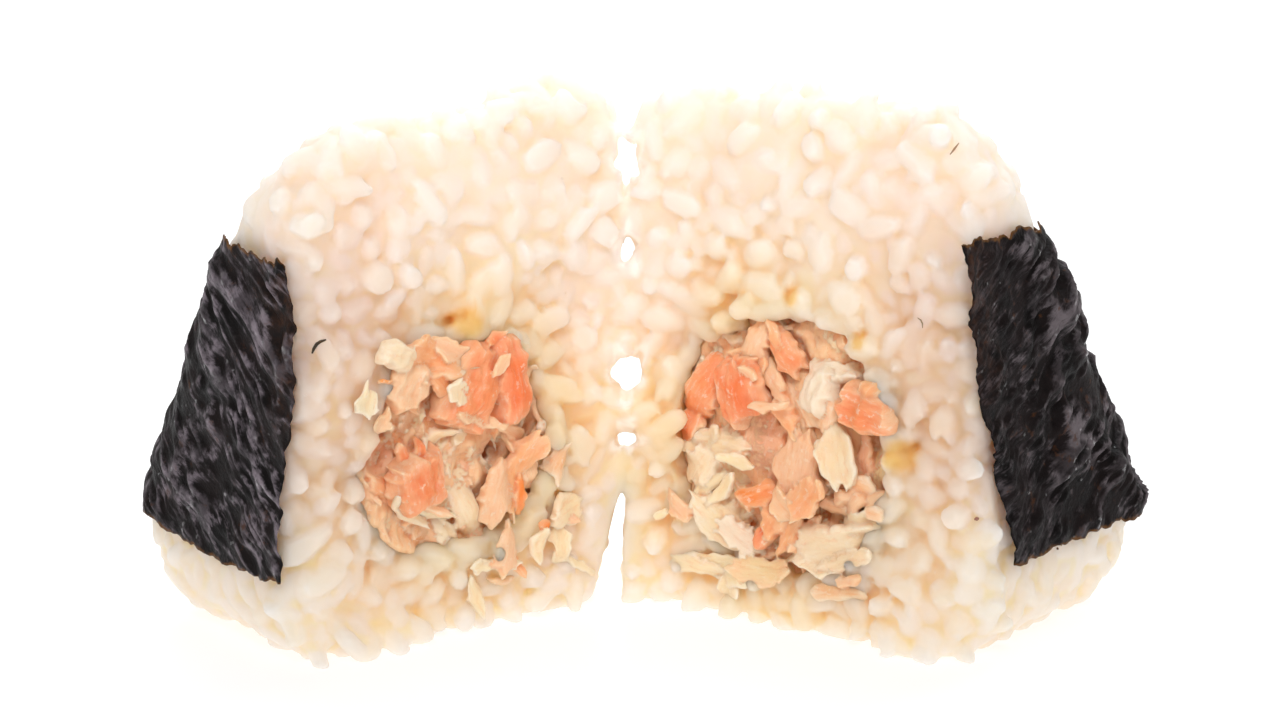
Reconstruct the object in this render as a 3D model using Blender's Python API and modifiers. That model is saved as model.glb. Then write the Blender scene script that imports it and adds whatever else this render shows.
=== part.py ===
# A triangular rice ball with a salmon filling, torn open from the front like a book.
# The two halves still hold together by the rice at the back, and each keeps its half of the nori strip.
#
# Each half is modelled closed and then swung open:
#   closed frame  X runs from the break plane out to the half's side, Y from front to back, Z up
#   row frame     the same after the half is swung about the upright hinge line at the back
# The base is flat on Z = 0, and the origin ends up at the middle of the whole's footprint.

import math

import bmesh
import bpy
from mathutils import Matrix, Vector, noise

MM = 0.001

# The rice ball as it was moulded
BALL_THICKNESS = 48 * MM
APEX_RADIUS = 19 * MM
CORNER_RADIUS = 11.5 * MM
EDGE_RADIUS = 8.2 * MM
OUTLINE_STEPS = (7, 5)
EDGE_STEPS = 3
PAST_BREAK = 12 * MM
BREAK_ALLOWANCE = 1.2 * MM

# The rice surface
RICE_CELL = 3.3 * MM
RELIEF_SIZE = 6.5 * MM
FINE_RELIEF = 2.1
FINE_SHARE = 0.5
MOULDED_RELIEF = 1.4 * MM
BROKEN_RELIEF = 4.2 * MM
BROKEN_BULGE = 0.8 * MM
BROKEN_DEPTH = 3 * MM
BROKEN_FACING = 1.6
BASE_BAND = 1.5 * MM

# The rice that still holds the halves together at the back, its foot, and the split up from below
HINGE_BULGE = 4.2 * MM
HINGE_REACH = 11 * MM
HINGE_DEPTH = 8 * MM
BACK_FOOT = 5.5 * MM
BACK_FOOT_REACH = 12 * MM
BACK_FOOT_TOP = 14.4 * MM
SPLIT_TOP = 15.5 * MM
SPLIT_WIDTHS = (3.6 * MM, 0.7 * MM)
SPLIT_DEPTH = 30 * MM
SPLIT_LEAN = 3.2 * MM

# The nori strip
NORI_THICKNESS = 0.4 * MM
NORI_GAP = 0.3 * MM
NORI_BACK_END = 2 * MM
NORI_MARGIN = 3.6 * MM
NORI_PRESS = 0.4 * MM
NORI_ROOM = 6 * MM

# Clearance between pieces that touch
GAP = 0.35 * MM
HOLLOW_GAP = 0.7 * MM

# How far the hollow for the filling is cut out through the broken face, as a share of its depth
HOLLOW_REACH = 1.3
FILLING_FRONT = 0.38

# The uneven balls that the filling, its hollow and the gaps are made of
BALL_LEVEL = 3
BALL_WAVES = 2.3
FILLING_RELIEF = 0.16
GAP_RELIEF = 0.3

# The chunks' edges, and how far their tops taper
CHUNK_EDGE = 0.22
CHUNK_EDGE_STEPS = 2
CHUNK_TAPER = 0.35

SHARP_ANGLE = math.radians(35)
WELD = 0.001 * MM

# What differs between the halves. The strip is given by its foot and top, and by how far from the
# break it starts at each. The filling is given across, along and up the break face.
HALVES = {
    "left": {
        "side": -1,
        "swing": math.radians(50),
        "width": 35 * MM,
        "height": 62 * MM,
        "lean": 2.6 * MM,
        "seed": 3.7,
        "nori": (10.8 * MM, 48.0 * MM),
        "nori_starts": (0.4 * MM, 0.0 * MM),
        "filling_centre": (2.6 * MM, -1.8 * MM, 23.6 * MM),
        "filling_radii": (10.5 * MM, 12.8 * MM, 12.8 * MM),
    },
    "right": {
        "side": 1,
        "swing": math.radians(53.5),
        "width": 38.5 * MM,
        "height": 62.7 * MM,
        "lean": 4.6 * MM,
        "seed": 11.3,
        "nori": (11.2 * MM, 49.6 * MM),
        "nori_starts": (4.7 * MM, -2.6 * MM),
        "filling_centre": (2.6 * MM, 1.3 * MM, 22.8 * MM),
        "filling_radii": (11.5 * MM, 14.6 * MM, 16.0 * MM),
    },
}

# The chunks of fish that stand out of the filling: half, place across, along and above the break
# face, size (thick, wide, tall) and turn about the three axes in degrees
CHUNKS = {
    "salmon_chunk_left_top": ("left", (-0.6, 3.8, 30.1), (5.0, 7.8, 10.5), (12, 10, 8)),
    "salmon_chunk_left_low": ("left", (-0.3, -6.6, 19.9), (4.6, 7.0, 7.8), (-25, 0, -10)),
    "salmon_chunk_left_side": ("left", (0.0, 7.2, 18.9), (4.4, 6.0, 11.2), (-14, -8, 12)),
    "salmon_chunk_right_top": ("right", (-0.4, 3.5, 34.9), (4.2, 6.4, 8.5), (18, 0, 0)),
    "salmon_chunk_right_deep": ("right", (0.0, 10.2, 27.4), (5.0, 8.6, 8.6), (10, 6, -6)),
    "salmon_chunk_right_side": ("right", (-0.2, -9.6, 28.0), (4.6, 8.2, 6.2), (20, 0, 8)),
    "salmon_chunk_right_pale": ("right", (-0.8, -0.1, 18.4), (4.4, 7.0, 9.4), (-8, 10, 0)),
}

# See-through gaps where the halves meet: height, width and tallness in millimetres, each run down
# towards the back
HINGE_HOLES = ((19.6, 2.8, 3.0), (27.5, 4.4, 4.2), (42.5, 1.8, 3.1), (52.9, 1.8, 5.4))
HOLE_SLOPE = math.radians(14)
HINGE_HOLE_DEPTH = 14 * MM

COLOURS = {
    "rice": ((0.86, 0.76, 0.64), 0.45),
    "nori": ((0.012, 0.011, 0.010), 0.40),
    "salmon": ((0.84, 0.58, 0.36), 0.50),
    "chunk": ((0.87, 0.31, 0.13), 0.45),
}


def clear_scene():
    for obj in list(bpy.data.objects):
        bpy.data.objects.remove(obj)


def collection(name):
    made = bpy.data.collections.new(name)
    bpy.context.scene.collection.children.link(made)
    return made


def material(name):
    colour, roughness = COLOURS[name]
    made = bpy.data.materials.new(name)
    made.use_nodes = True
    shader = made.node_tree.nodes["Principled BSDF"]
    shader.inputs["Base Color"].default_value = (*colour, 1.0)
    shader.inputs["Roughness"].default_value = roughness
    shader.inputs["Metallic"].default_value = 0.0
    return made


def object_of(name, mesh, where):
    made = bpy.data.objects.new(name, mesh)
    where.objects.link(made)
    return made


def helper(obj):
    """A cutter or guide: wire in the viewport, and left out of the model."""
    obj.hide_render = True
    obj.display_type = "WIRE"
    return obj


def baked(obj, name, where):
    """A plain mesh object with obj's modifiers applied and its place in its vertices; obj is removed."""
    graph = bpy.context.evaluated_depsgraph_get()
    mesh = bpy.data.meshes.new_from_object(obj.evaluated_get(graph))
    mesh.transform(obj.matrix_world)
    bpy.data.objects.remove(obj)
    return object_of(name, mesh, where)


def welded(obj):
    """obj with the vertices joined that a curve leaves apart where its caps meet its sides."""
    shape = bmesh.new()
    shape.from_mesh(obj.data)
    bmesh.ops.remove_doubles(shape, verts=shape.verts, dist=WELD)
    shape.to_mesh(obj.data)
    shape.free()
    return obj


def boolean(obj, other, operation):
    modifier = obj.modifiers.new(operation.lower(), "BOOLEAN")
    modifier.operation = operation
    modifier.object = other
    # The grain heaps meet at slivers, on which the EXACT solver loses the rice.
    modifier.solver = "MANIFOLD"
    bpy.context.view_layer.update()
    return baked(obj, obj.name, obj.users_collection[0])


def remeshed(obj):
    """obj as one closed skin of even cells."""
    modifier = obj.modifiers.new("cells", "REMESH")
    modifier.mode = "VOXEL"
    modifier.voxel_size = RICE_CELL
    bpy.context.view_layer.update()
    return baked(obj, obj.name, obj.users_collection[0])


def arc(centre, radius, start, end, steps):
    turns = [start + (end - start) * i / steps for i in range(steps + 1)]
    return [(centre[0] + radius * math.cos(a), centre[1] + radius * math.sin(a)) for a in turns]


def half_outline(half, grow):
    """Front outline of one half, from the base round its corner and up the slant to the apex."""
    corner = (half["width"] - CORNER_RADIUS, CORNER_RADIUS)
    apex = (0.0, half["height"] - APEX_RADIUS)
    across, down = corner[0] - apex[0], corner[1] - apex[1]
    slant = math.atan2(down, across) + math.acos(
        (APEX_RADIUS - CORNER_RADIUS) / math.hypot(across, down)
    )
    return [
        (-PAST_BREAK, -grow),
        *arc(corner, CORNER_RADIUS + grow, -math.pi / 2, slant, OUTLINE_STEPS[0]),
        *arc(apex, APEX_RADIUS + grow, slant, math.pi / 2, OUTLINE_STEPS[1]),
        (-PAST_BREAK, half["height"] + grow),
    ]


def moulded_half(name, half, grow, where):
    """The half as the mould leaves it, still past the break plane, with its faces' edges rounded."""
    curve = bpy.data.curves.new(name, "CURVE")
    curve.dimensions = "2D"
    curve.fill_mode = "BOTH"
    curve.extrude = BALL_THICKNESS / 2 - EDGE_RADIUS
    curve.bevel_depth = EDGE_RADIUS + grow
    curve.bevel_resolution = EDGE_STEPS
    curve.offset = -(EDGE_RADIUS + grow)
    points = half_outline(half, grow)
    spline = curve.splines.new("POLY")
    spline.points.add(len(points) - 1)
    for point, (x, z) in zip(spline.points, points):
        point.co = (x, z, 0, 1)
    spline.use_cyclic_u = True
    raw = object_of(name, curve, where)
    raw.rotation_euler.x = math.pi / 2
    bpy.context.view_layer.update()
    return welded(baked(raw, name, where))


def box(name, low, high, where):
    low, high = Vector(low), Vector(high)
    shape = bmesh.new()
    bmesh.ops.create_cube(shape, size=1.0)
    for vert in shape.verts:
        vert.co = (low + high) / 2 + Vector(a * b for a, b in zip(vert.co, high - low))
    mesh = bpy.data.meshes.new(name)
    shape.to_mesh(mesh)
    shape.free()
    return object_of(name, mesh, where)


def smooth_step(value):
    value = min(1.0, max(0.0, value))
    return value * value * (3 - 2 * value)


def under_nori(place, half):
    """Whether a place on the skin of the closed half is pressed by the nori, or right beside it."""
    foot, top = half["nori"]
    return (
        place.x > min(half["nori_starts"]) - NORI_MARGIN
        and place.y < NORI_BACK_END + NORI_MARGIN
        and foot - NORI_MARGIN < place.z < top + NORI_MARGIN
    )


def roughen(mesh, half):
    """Raises the grain heaps: low on the moulded skin, high on the torn face, with the base left flat."""
    middle = half["height"] / 2
    moves = []
    for vert in mesh.vertices:
        place, normal = vert.co.copy(), vert.normal.copy()
        torn = smooth_step(1 - place.x / BROKEN_DEPTH) * smooth_step(-normal.x * BROKEN_FACING)
        relief = MOULDED_RELIEF + (BROKEN_RELIEF - MOULDED_RELIEF) * torn
        at = place / RELIEF_SIZE + Vector((half["seed"],) * 3)
        rise = relief * (noise.noise(at) + FINE_SHARE * noise.noise(at * FINE_RELIEF))
        centred = Vector((0, 2 * place.y / BALL_THICKNESS, place.z / middle - 1))
        rise += torn * BROKEN_BULGE * (1 - min(1.0, centred.length_squared))
        pressed = (1 - torn) * under_nori(place, half)
        rise += (-NORI_PRESS - rise) * pressed
        place += normal * rise
        at_back = smooth_step(1 - (BALL_THICKNESS / 2 - place.y) / HINGE_REACH)
        near_break = smooth_step(1 - place.x / HINGE_DEPTH)
        place.x -= near_break * at_back * HINGE_BULGE
        foot = at_back * smooth_step((BACK_FOOT_TOP - place.z) / BACK_FOOT_REACH)
        place.z = max(0.0, place.z - BACK_FOOT * foot)
        if vert.co.z < BASE_BAND:
            place.z = 0.0
        moves.append(place)
    for vert, place in zip(mesh.vertices, moves):
        vert.co = place


def to_open(obj, half):
    """Leans and swings a closed piece to where it lies open."""
    for vert in obj.data.vertices:
        front = 0.5 - vert.co.y / BALL_THICKNESS
        vert.co.y -= half["lean"] * front * (1 - vert.co.z / half["height"])
    swing = (
        Matrix.Diagonal((half["side"], 1, 1, 1))
        @ Matrix.Rotation(half["swing"], 4, "Z")
        @ Matrix.Translation((0, -BALL_THICKNESS / 2, 0))
    )
    obj.data.transform(swing)
    if half["side"] < 0:
        obj.data.flip_normals()
    return obj


def strip_space(name, half, where):
    """The space that half of the nori strip takes up, across the front and round the side."""
    foot, top = half["nori"]
    far = half["width"] + NORI_ROOM
    space = box(
        name, (0, -BALL_THICKNESS / 2 - NORI_ROOM, foot), (far, NORI_BACK_END, top), where
    )
    for vert in space.data.vertices:
        if vert.co.x < far / 2:
            vert.co.x = half["nori_starts"][vert.co.z > (foot + top) / 2]
    return space


def nori_half(name, half, where, cutters):
    inner = helper(moulded_half("nori_inside", half, NORI_GAP, cutters))
    strip = helper(strip_space("nori_strip", half, cutters))
    nori = moulded_half(name, half, NORI_GAP + NORI_THICKNESS, where)
    nori = boolean(nori, inner, "DIFFERENCE")
    nori = boolean(nori, strip, "INTERSECT")
    bpy.data.objects.remove(inner)
    bpy.data.objects.remove(strip)
    return to_open(nori, half)


def rice_half(name, half, where, cutters):
    """One torn half of rice, its skin smooth where the nori presses on it."""
    rice = moulded_half(name, half, 0.0, where)
    past = helper(
        box(
            "past_the_break",
            (-2 * PAST_BREAK, -BALL_THICKNESS, -half["height"]),
            (-BREAK_ALLOWANCE, BALL_THICKNESS, 2 * half["height"]),
            cutters,
        )
    )
    rice = boolean(rice, past, "DIFFERENCE")
    bpy.data.objects.remove(past)
    rice = remeshed(rice)
    roughen(rice.data, half)
    return to_open(rice, half)


def lumpy_ball(name, centre, radii, relief, seed, where):
    """A ball primitive drawn out to three radii and made uneven."""
    shape = bmesh.new()
    bmesh.ops.create_icosphere(shape, subdivisions=BALL_LEVEL, radius=1.0)
    mesh = bpy.data.meshes.new(name)
    shape.to_mesh(mesh)
    shape.free()
    for vert in mesh.vertices:
        out = vert.co.normalized()
        wave = noise.noise(out * BALL_WAVES + Vector((seed, 0, seed)))
        vert.co = Vector(centre) + Vector(
            r * a * (1 + relief * wave) for r, a in zip(radii, out)
        )
    return object_of(name, mesh, where)


def filling(name, half, grow, front, where):
    """The lump of flaked fish in one half: round in the rice, and front is how far it comes out of it."""
    centre, radii = half["filling_centre"], half["filling_radii"]
    grown = [r + grow for r in radii]
    lump = lumpy_ball(name, centre, grown, FILLING_RELIEF, half["seed"], where)
    for vert in lump.data.vertices:
        if vert.co.x < centre[0]:
            vert.co.x = centre[0] + (vert.co.x - centre[0]) * front
    return to_open(lump, half)


def chunk(name, grow, where):
    """One chunk of fish: a block with rounded edges and a wedge-shaped end."""
    half_name, place, size, turn = CHUNKS[name]
    shape = bmesh.new()
    bmesh.ops.create_cube(shape, size=1.0)
    bmesh.ops.bevel(
        shape,
        geom=shape.edges[:],
        offset=CHUNK_EDGE,
        segments=CHUNK_EDGE_STEPS,
        profile=0.5,
        affect="EDGES",
    )
    mesh = bpy.data.meshes.new(name)
    shape.to_mesh(mesh)
    shape.free()
    for vert in mesh.vertices:
        taper = 1 - CHUNK_TAPER * (vert.co.z + 0.5)
        vert.co.x *= taper
        vert.co.y *= taper
        vert.co = Vector(a * (s * MM + 2 * grow) for a, s in zip(vert.co, size))
    angles = [math.radians(a) for a in turn]
    spin = Matrix.Rotation(angles[0], 4, "X") @ Matrix.Rotation(angles[1], 4, "Y")
    spin = spin @ Matrix.Rotation(angles[2], 4, "Z")
    mesh.transform(Matrix.Translation(Vector(place) * MM) @ spin)
    return to_open(object_of(name, mesh, where), HALVES[half_name])


def hinge_hole(height, width, tall, where):
    """A gap right through the rice where the halves meet."""
    radii = (width / 2 * MM, HINGE_HOLE_DEPTH, tall / 2 * MM)
    hole = lumpy_ball("hinge_gap", (0, 0, 0), radii, GAP_RELIEF, height, where)
    hole.data.transform(
        Matrix.Translation((0, 0, height * MM)) @ Matrix.Rotation(-HOLE_SLOPE, 4, "X")
    )
    return hole


def hinge_split(where):
    """The wedge up from the base where the halves have come apart."""
    low, high = -SPLIT_WIDTHS[0], SPLIT_TOP
    wedge = box(
        "hinge_split",
        (-0.5, -SPLIT_DEPTH / 2, low),
        (0.5, SPLIT_DEPTH / 2, high),
        where,
    )
    for vert in wedge.data.vertices:
        at_top = vert.co.z > (low + high) / 2
        vert.co.x *= SPLIT_WIDTHS[at_top]
        vert.co.x -= 0 if at_top else SPLIT_LEAN
    wedge.data.transform(Matrix.Rotation(-HOLE_SLOPE, 4, "X"))
    return wedge


def cut_from(obj, cutter):
    """obj less cutter, which is then removed."""
    obj = boolean(obj, helper(cutter), "DIFFERENCE")
    bpy.data.objects.remove(cutter)
    return obj


def largest_body(obj):
    """obj less the crumbs that the cuts left loose."""
    shape = bmesh.new()
    shape.from_mesh(obj.data)
    left, bodies = set(shape.verts), []
    while left:
        body, edge = set(), {left.pop()}
        while edge:
            body |= edge
            edge = {e.other_vert(v) for v in edge for e in v.link_edges} - body
        left -= body
        bodies.append(body)
    bodies.sort(key=len)
    for body in bodies[:-1]:
        bmesh.ops.delete(shape, geom=list(body), context="VERTS")
    shape.to_mesh(obj.data)
    shape.free()
    return obj


def finish(obj, material_name):
    obj.data.materials.clear()
    obj.data.materials.append(bpy.data.materials[material_name])
    obj.data.shade_smooth()
    obj.data.set_sharp_from_angle(angle=SHARP_ANGLE)


def stand_on_origin(objects):
    """Moves everything together so that the footprint's middle is at the origin."""
    corners = [obj.matrix_world @ Vector(c) for obj in objects for c in obj.bound_box]
    low = Vector(min(c[i] for c in corners) for i in range(3))
    high = Vector(max(c[i] for c in corners) for i in range(3))
    shift = Vector((-(low.x + high.x) / 2, -(low.y + high.y) / 2, -low.z))
    for obj in objects:
        obj.data.transform(Matrix.Translation(shift))


def main():
    clear_scene()
    model = collection("rice_ball")
    cutters = collection("cutters")
    for name in COLOURS:
        material(name)

    left, right = (
        rice_half(f"rice_{name}", half, model, cutters) for name, half in HALVES.items()
    )
    rice = boolean(left, right, "UNION")
    bpy.data.objects.remove(right)
    rice = remeshed(rice)
    rice.name = "rice"
    for vert in rice.data.vertices:
        if vert.co.z < BASE_BAND:
            vert.co.z = 0.0
    for height, width, tall in HINGE_HOLES:
        rice = cut_from(rice, hinge_hole(height, width, tall, cutters))
    rice = cut_from(rice, hinge_split(cutters))
    for half in HALVES.values():
        rice = cut_from(rice, filling("hollow", half, HOLLOW_GAP, HOLLOW_REACH, cutters))
    for name in CHUNKS:
        rice = cut_from(rice, chunk(name, GAP, cutters))
    rice = largest_body(rice)
    finish(rice, "rice")

    made = [rice]
    for name, half in HALVES.items():
        nori = nori_half(f"nori_{name}", half, model, cutters)
        finish(nori, "nori")
        made.append(nori)
        salmon = filling(f"salmon_{name}", half, 0.0, FILLING_FRONT, model)
        for chunk_name, facts in CHUNKS.items():
            if facts[0] == name:
                salmon = cut_from(salmon, chunk(chunk_name, GAP, cutters))
        finish(salmon, "salmon")
        made.append(salmon)
    for name in CHUNKS:
        piece = chunk(name, 0.0, model)
        finish(piece, "chunk")
        made.append(piece)
    bpy.context.view_layer.update()
    stand_on_origin(made)


main()
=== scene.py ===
import math

import bpy
import numpy as np
from mathutils import Euler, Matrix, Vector, noise
from mathutils.bvhtree import BVHTree
from mathutils.kdtree import KDTree


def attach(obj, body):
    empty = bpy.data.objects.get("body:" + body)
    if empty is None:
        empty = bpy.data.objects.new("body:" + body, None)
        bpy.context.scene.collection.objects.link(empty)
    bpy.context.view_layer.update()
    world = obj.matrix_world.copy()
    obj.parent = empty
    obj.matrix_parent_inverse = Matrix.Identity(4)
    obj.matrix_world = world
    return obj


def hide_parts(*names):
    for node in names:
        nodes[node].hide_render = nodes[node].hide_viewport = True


mm = 0.001

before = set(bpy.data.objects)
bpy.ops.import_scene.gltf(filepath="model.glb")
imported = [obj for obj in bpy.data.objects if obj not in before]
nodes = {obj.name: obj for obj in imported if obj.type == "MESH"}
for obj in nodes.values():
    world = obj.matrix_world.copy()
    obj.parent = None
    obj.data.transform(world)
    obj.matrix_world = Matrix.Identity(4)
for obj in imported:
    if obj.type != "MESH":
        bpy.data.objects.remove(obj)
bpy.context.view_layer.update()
print("frame loaded:", len(nodes), "solids")


class Wire:
    # one output socket, on which a sum can be written
    def __init__(self, owner, socket):
        self.owner = owner
        self.socket = socket

    def math(self, operation, first, second):
        return self.owner.node("ShaderNodeMath", {"operation": operation}, {0: first, 1: second})

    def __add__(self, other):
        return self.math("ADD", self, other)

    def __radd__(self, other):
        return self.math("ADD", other, self)

    def __sub__(self, other):
        return self.math("SUBTRACT", self, other)

    def __rsub__(self, other):
        return self.math("SUBTRACT", other, self)

    def __mul__(self, other):
        return self.math("MULTIPLY", self, other)

    def __rmul__(self, other):
        return self.math("MULTIPLY", other, self)


class NodeTree:
    # makes the nodes of one tree and joins them up
    def __init__(self, owner):
        owner.use_nodes = True
        self.tree = owner.node_tree

    def plug(self, value, socket):
        if isinstance(value, Wire):
            self.tree.links.new(value.socket, socket)
        elif socket.type == "RGBA" and len(value) == 3:
            socket.default_value = (*value, 1.0)
        else:
            socket.default_value = value

    def node(self, kind, settings=None, values=None, output=0):
        made = self.tree.nodes.new(kind)
        for name, value in (settings or {}).items():
            setattr(made, name, value)
        for name, value in (values or {}).items():
            self.plug(value, made.inputs[name])
        return Wire(self, made.outputs[output])


class Looks(NodeTree):
    # a material with what its shader is fed
    def __init__(self, name, constants):
        self.material = bpy.data.materials.new(name)
        super().__init__(self.material)
        self.shader = self.tree.nodes["Principled BSDF"]
        for socket, value in constants.items():
            self.shader.inputs[socket].default_value = value

    def place(self):
        return self.node("ShaderNodeTexCoord", output="Object")

    def noise(self, scale, detail=3.0, roughness=0.5, vector=None):
        return self.node(
            "ShaderNodeTexNoise",
            {},
            {
                "Vector": vector or self.place(),
                "Scale": scale,
                "Detail": detail,
                "Roughness": roughness,
            },
        )

    def stretch(self, vector, shares):
        return self.node("ShaderNodeVectorMath", {"operation": "MULTIPLY"}, {0: vector, 1: shares})

    def attribute(self, name, output="Fac"):
        return self.node("ShaderNodeAttribute", {"attribute_name": name}, output=output)

    def between(self, value, low, high):
        # 0 below low, 1 above high, smooth between
        return self.node(
            "ShaderNodeMapRange",
            {"interpolation_type": "SMOOTHSTEP"},
            {"Value": value, "From Min": low, "From Max": high},
        )

    def mix(self, factor, first, second, blend="MIX"):
        return self.node(
            "ShaderNodeMix",
            {"data_type": "RGBA", "blend_type": blend},
            {"Factor": factor, 6: first, 7: second},
            output=2,
        )

    def bump(self, height, distance, strength=1.0):
        normal = self.node(
            "ShaderNodeBump", {}, {"Height": height, "Distance": distance, "Strength": strength}
        )
        self.plug(normal, self.shader.inputs["Normal"])

    def feed(self, socket, value):
        self.plug(value, self.shader.inputs[socket])


def deselect():
    if bpy.context.mode != "OBJECT":
        bpy.ops.object.mode_set(mode="OBJECT")
    bpy.ops.object.select_all(action="DESELECT")


def current(name):
    obj = bpy.context.object
    obj.name = name
    obj.data.name = name
    return obj


def makeActive(obj):
    deselect()
    obj.select_set(True)
    bpy.context.view_layer.objects.active = obj


def joinPieces(name, pieces):
    deselect()
    for piece in pieces:
        piece.select_set(True)
    bpy.context.view_layer.objects.active = pieces[0]
    if len(pieces) > 1:
        bpy.ops.object.join()
    return current(name)


def applyModifiers(obj):
    makeActive(obj)
    for modifier in list(obj.modifiers):
        bpy.ops.object.modifier_apply(modifier=modifier.name)


def growTogether(obj, cell, softening):
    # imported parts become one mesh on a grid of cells, softened a little
    fuse = obj.modifiers.new("fuse", "REMESH")
    fuse.mode = "VOXEL"
    fuse.voxel_size = cell
    soften = obj.modifiers.new("soften", "SMOOTH")
    soften.factor = 0.5
    soften.iterations = softening
    applyModifiers(obj)


def keepTriangles(obj, wanted):
    # fewer triangles where the shape is plain, on a mesh of quads
    fewer = obj.modifiers.new("fewer", "DECIMATE")
    fewer.ratio = wanted / (2 * len(obj.data.polygons))
    applyModifiers(obj)
    obj.data.shade_smooth()


def meshPoints(mesh):
    points = np.empty(len(mesh.vertices) * 3, np.float32)
    mesh.vertices.foreach_get("co", points)
    return points.reshape(-1, 3).astype(float)


def setPoints(mesh, points):
    mesh.vertices.foreach_set("co", np.asarray(points, np.float32).ravel())
    mesh.update()


def vertexNormals(mesh):
    normals = np.empty(len(mesh.vertices) * 3, np.float32)
    mesh.vertices.foreach_get("normal", normals)
    return normals.reshape(-1, 3).astype(float)


def meshEdges(mesh):
    ends = np.empty(len(mesh.edges) * 2, np.int32)
    mesh.edges.foreach_get("vertices", ends)
    return ends.reshape(-1, 2).T


def storeValue(mesh, name, values):
    layer = mesh.attributes.get(name) or mesh.attributes.new(name, "FLOAT", "POINT")
    layer.data.foreach_set("value", np.asarray(values, np.float32))


def meshFaces(mesh):
    # corners of each face, as one array for the quads and one for the triangles
    starts = np.empty(len(mesh.polygons), np.int32)
    sizes = np.empty(len(mesh.polygons), np.int32)
    corners = np.empty(len(mesh.loops), np.int32)
    mesh.polygons.foreach_get("loop_start", starts)
    mesh.polygons.foreach_get("loop_total", sizes)
    mesh.loops.foreach_get("vertex_index", corners)
    return {n: corners[starts[sizes == n][:, None] + np.arange(n)] for n in (3, 4)}


def joinedCopies(masters, picks, spots):
    # many copies taken together: picks says which master, spots are 4x4 arrays; owner is each point's copy
    points, faces, owner, count = [], {3: [], 4: []}, [], 0
    for number, (pick, spot) in enumerate(zip(picks, spots)):
        own = masters[pick]["points"]
        points.append(own @ spot[:3, :3].T + spot[:3, 3])
        for size in (3, 4):
            faces[size].append(masters[pick]["faces"][size] + count)
        owner.append(np.full(len(own), number))
        count += len(own)
    points = np.concatenate(points)
    return points, {size: np.concatenate(faces[size]) for size in faces}, np.concatenate(owner)


def meshObject(name, points, faces):
    mesh = bpy.data.meshes.new(name)
    loops = np.concatenate([faces[3].ravel(), faces[4].ravel()]).astype(np.int32)
    totals = np.concatenate([np.full(len(faces[3]), 3), np.full(len(faces[4]), 4)])
    mesh.vertices.add(len(points))
    mesh.vertices.foreach_set("co", points.astype(np.float32).ravel())
    mesh.loops.add(len(loops))
    mesh.loops.foreach_set("vertex_index", loops)
    mesh.polygons.add(len(totals))
    mesh.polygons.foreach_set("loop_start", (np.cumsum(totals) - totals).astype(np.int32))
    mesh.update(calc_edges=True)
    mesh.shade_smooth()
    obj = bpy.data.objects.new(name, mesh)
    bpy.context.scene.collection.objects.link(obj)
    return obj


def smoothStep(value):
    value = np.clip(value, 0, 1)
    return value * value * (3 - 2 * value)


# A half is easier to think about closed: X out from the break, Y from front to back, Z up.
ball = {
    "thickness": 48 * mm,
    "apexRadius": 19 * mm,
    "cornerRadius": 11.5 * mm,
    "edgeRadius": 8.2 * mm,
    "hinge": (-1.797 * mm, 3.406 * mm),
    "noriBack": 2.0 * mm,
}
halves = {
    "left": {
        "side": -1,
        "swing": math.radians(50),
        "width": 35 * mm,
        "height": 62 * mm,
        "lean": 2.6 * mm,
        "nori": (10.8 * mm, 48.0 * mm),
        "noriStarts": (0.4 * mm, 0.0 * mm),
        "fillingCentre": (2.6 * mm, -1.8 * mm, 23.6 * mm),
        "fillingRadii": (10.5 * mm, 12.8 * mm, 12.8 * mm),
    },
    "right": {
        "side": 1,
        "swing": math.radians(53.5),
        "width": 38.5 * mm,
        "height": 62.7 * mm,
        "lean": 4.6 * mm,
        "nori": (11.2 * mm, 49.6 * mm),
        "noriStarts": (4.7 * mm, -2.6 * mm),
        "fillingCentre": (2.6 * mm, 1.3 * mm, 22.8 * mm),
        "fillingRadii": (11.5 * mm, 14.6 * mm, 16.0 * mm),
    },
}


def toOpen(points, half):
    # from the closed half to where it lies open
    x, y, z = np.asarray(points, float).T
    front = 0.5 - y / ball["thickness"]
    y = y - half["lean"] * front * (1 - z / half["height"]) - ball["thickness"] / 2
    c, s = math.cos(half["swing"]), math.sin(half["swing"])
    across, back = x * c - y * s, x * s + y * c
    return np.stack([half["side"] * across + ball["hinge"][0], back + ball["hinge"][1], z], 1)


def toClosed(points, half):
    x, y, z = np.asarray(points, float).T
    across, back = half["side"] * (x - ball["hinge"][0]), y - ball["hinge"][1]
    c, s = math.cos(half["swing"]), math.sin(half["swing"])
    outward = across * c + back * s
    y = -across * s + back * c + ball["thickness"] / 2
    lean = half["lean"] * (1 - z / half["height"])
    y = (y + lean / 2) / (1 + lean / ball["thickness"])
    return np.stack([outward, y, z], 1)


def inHalf(points, half):
    return (points[:, 0] < ball["hinge"][0]) == (half["side"] < 0)


def byHalf(points, measure):
    # a measure of each point, taken in the half that it is in
    left, right = measure(halves["left"]), measure(halves["right"])
    mine = inHalf(points, halves["left"])
    return np.where(mine[:, None] if left.ndim > 1 else mine, left, right)


def slantOf(half):
    # the middles of the round corner and apex, and the way that the slanted side between them faces
    corner = np.array([half["width"] - ball["cornerRadius"], ball["cornerRadius"]])
    apex = np.array([0.0, half["height"] - ball["apexRadius"]])
    across, down = corner - apex
    slant = math.atan2(down, across) + math.acos(
        (ball["apexRadius"] - ball["cornerRadius"]) / math.hypot(across, down)
    )
    return corner, apex, np.array([math.cos(slant), math.sin(slant)])


def slantEdge(z, half):
    # how far out the closed half's slanted side is at a height
    corner, _, (c, s) = slantOf(half)
    return corner[0] + (ball["cornerRadius"] - (z - corner[1]) * s) / c


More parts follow.
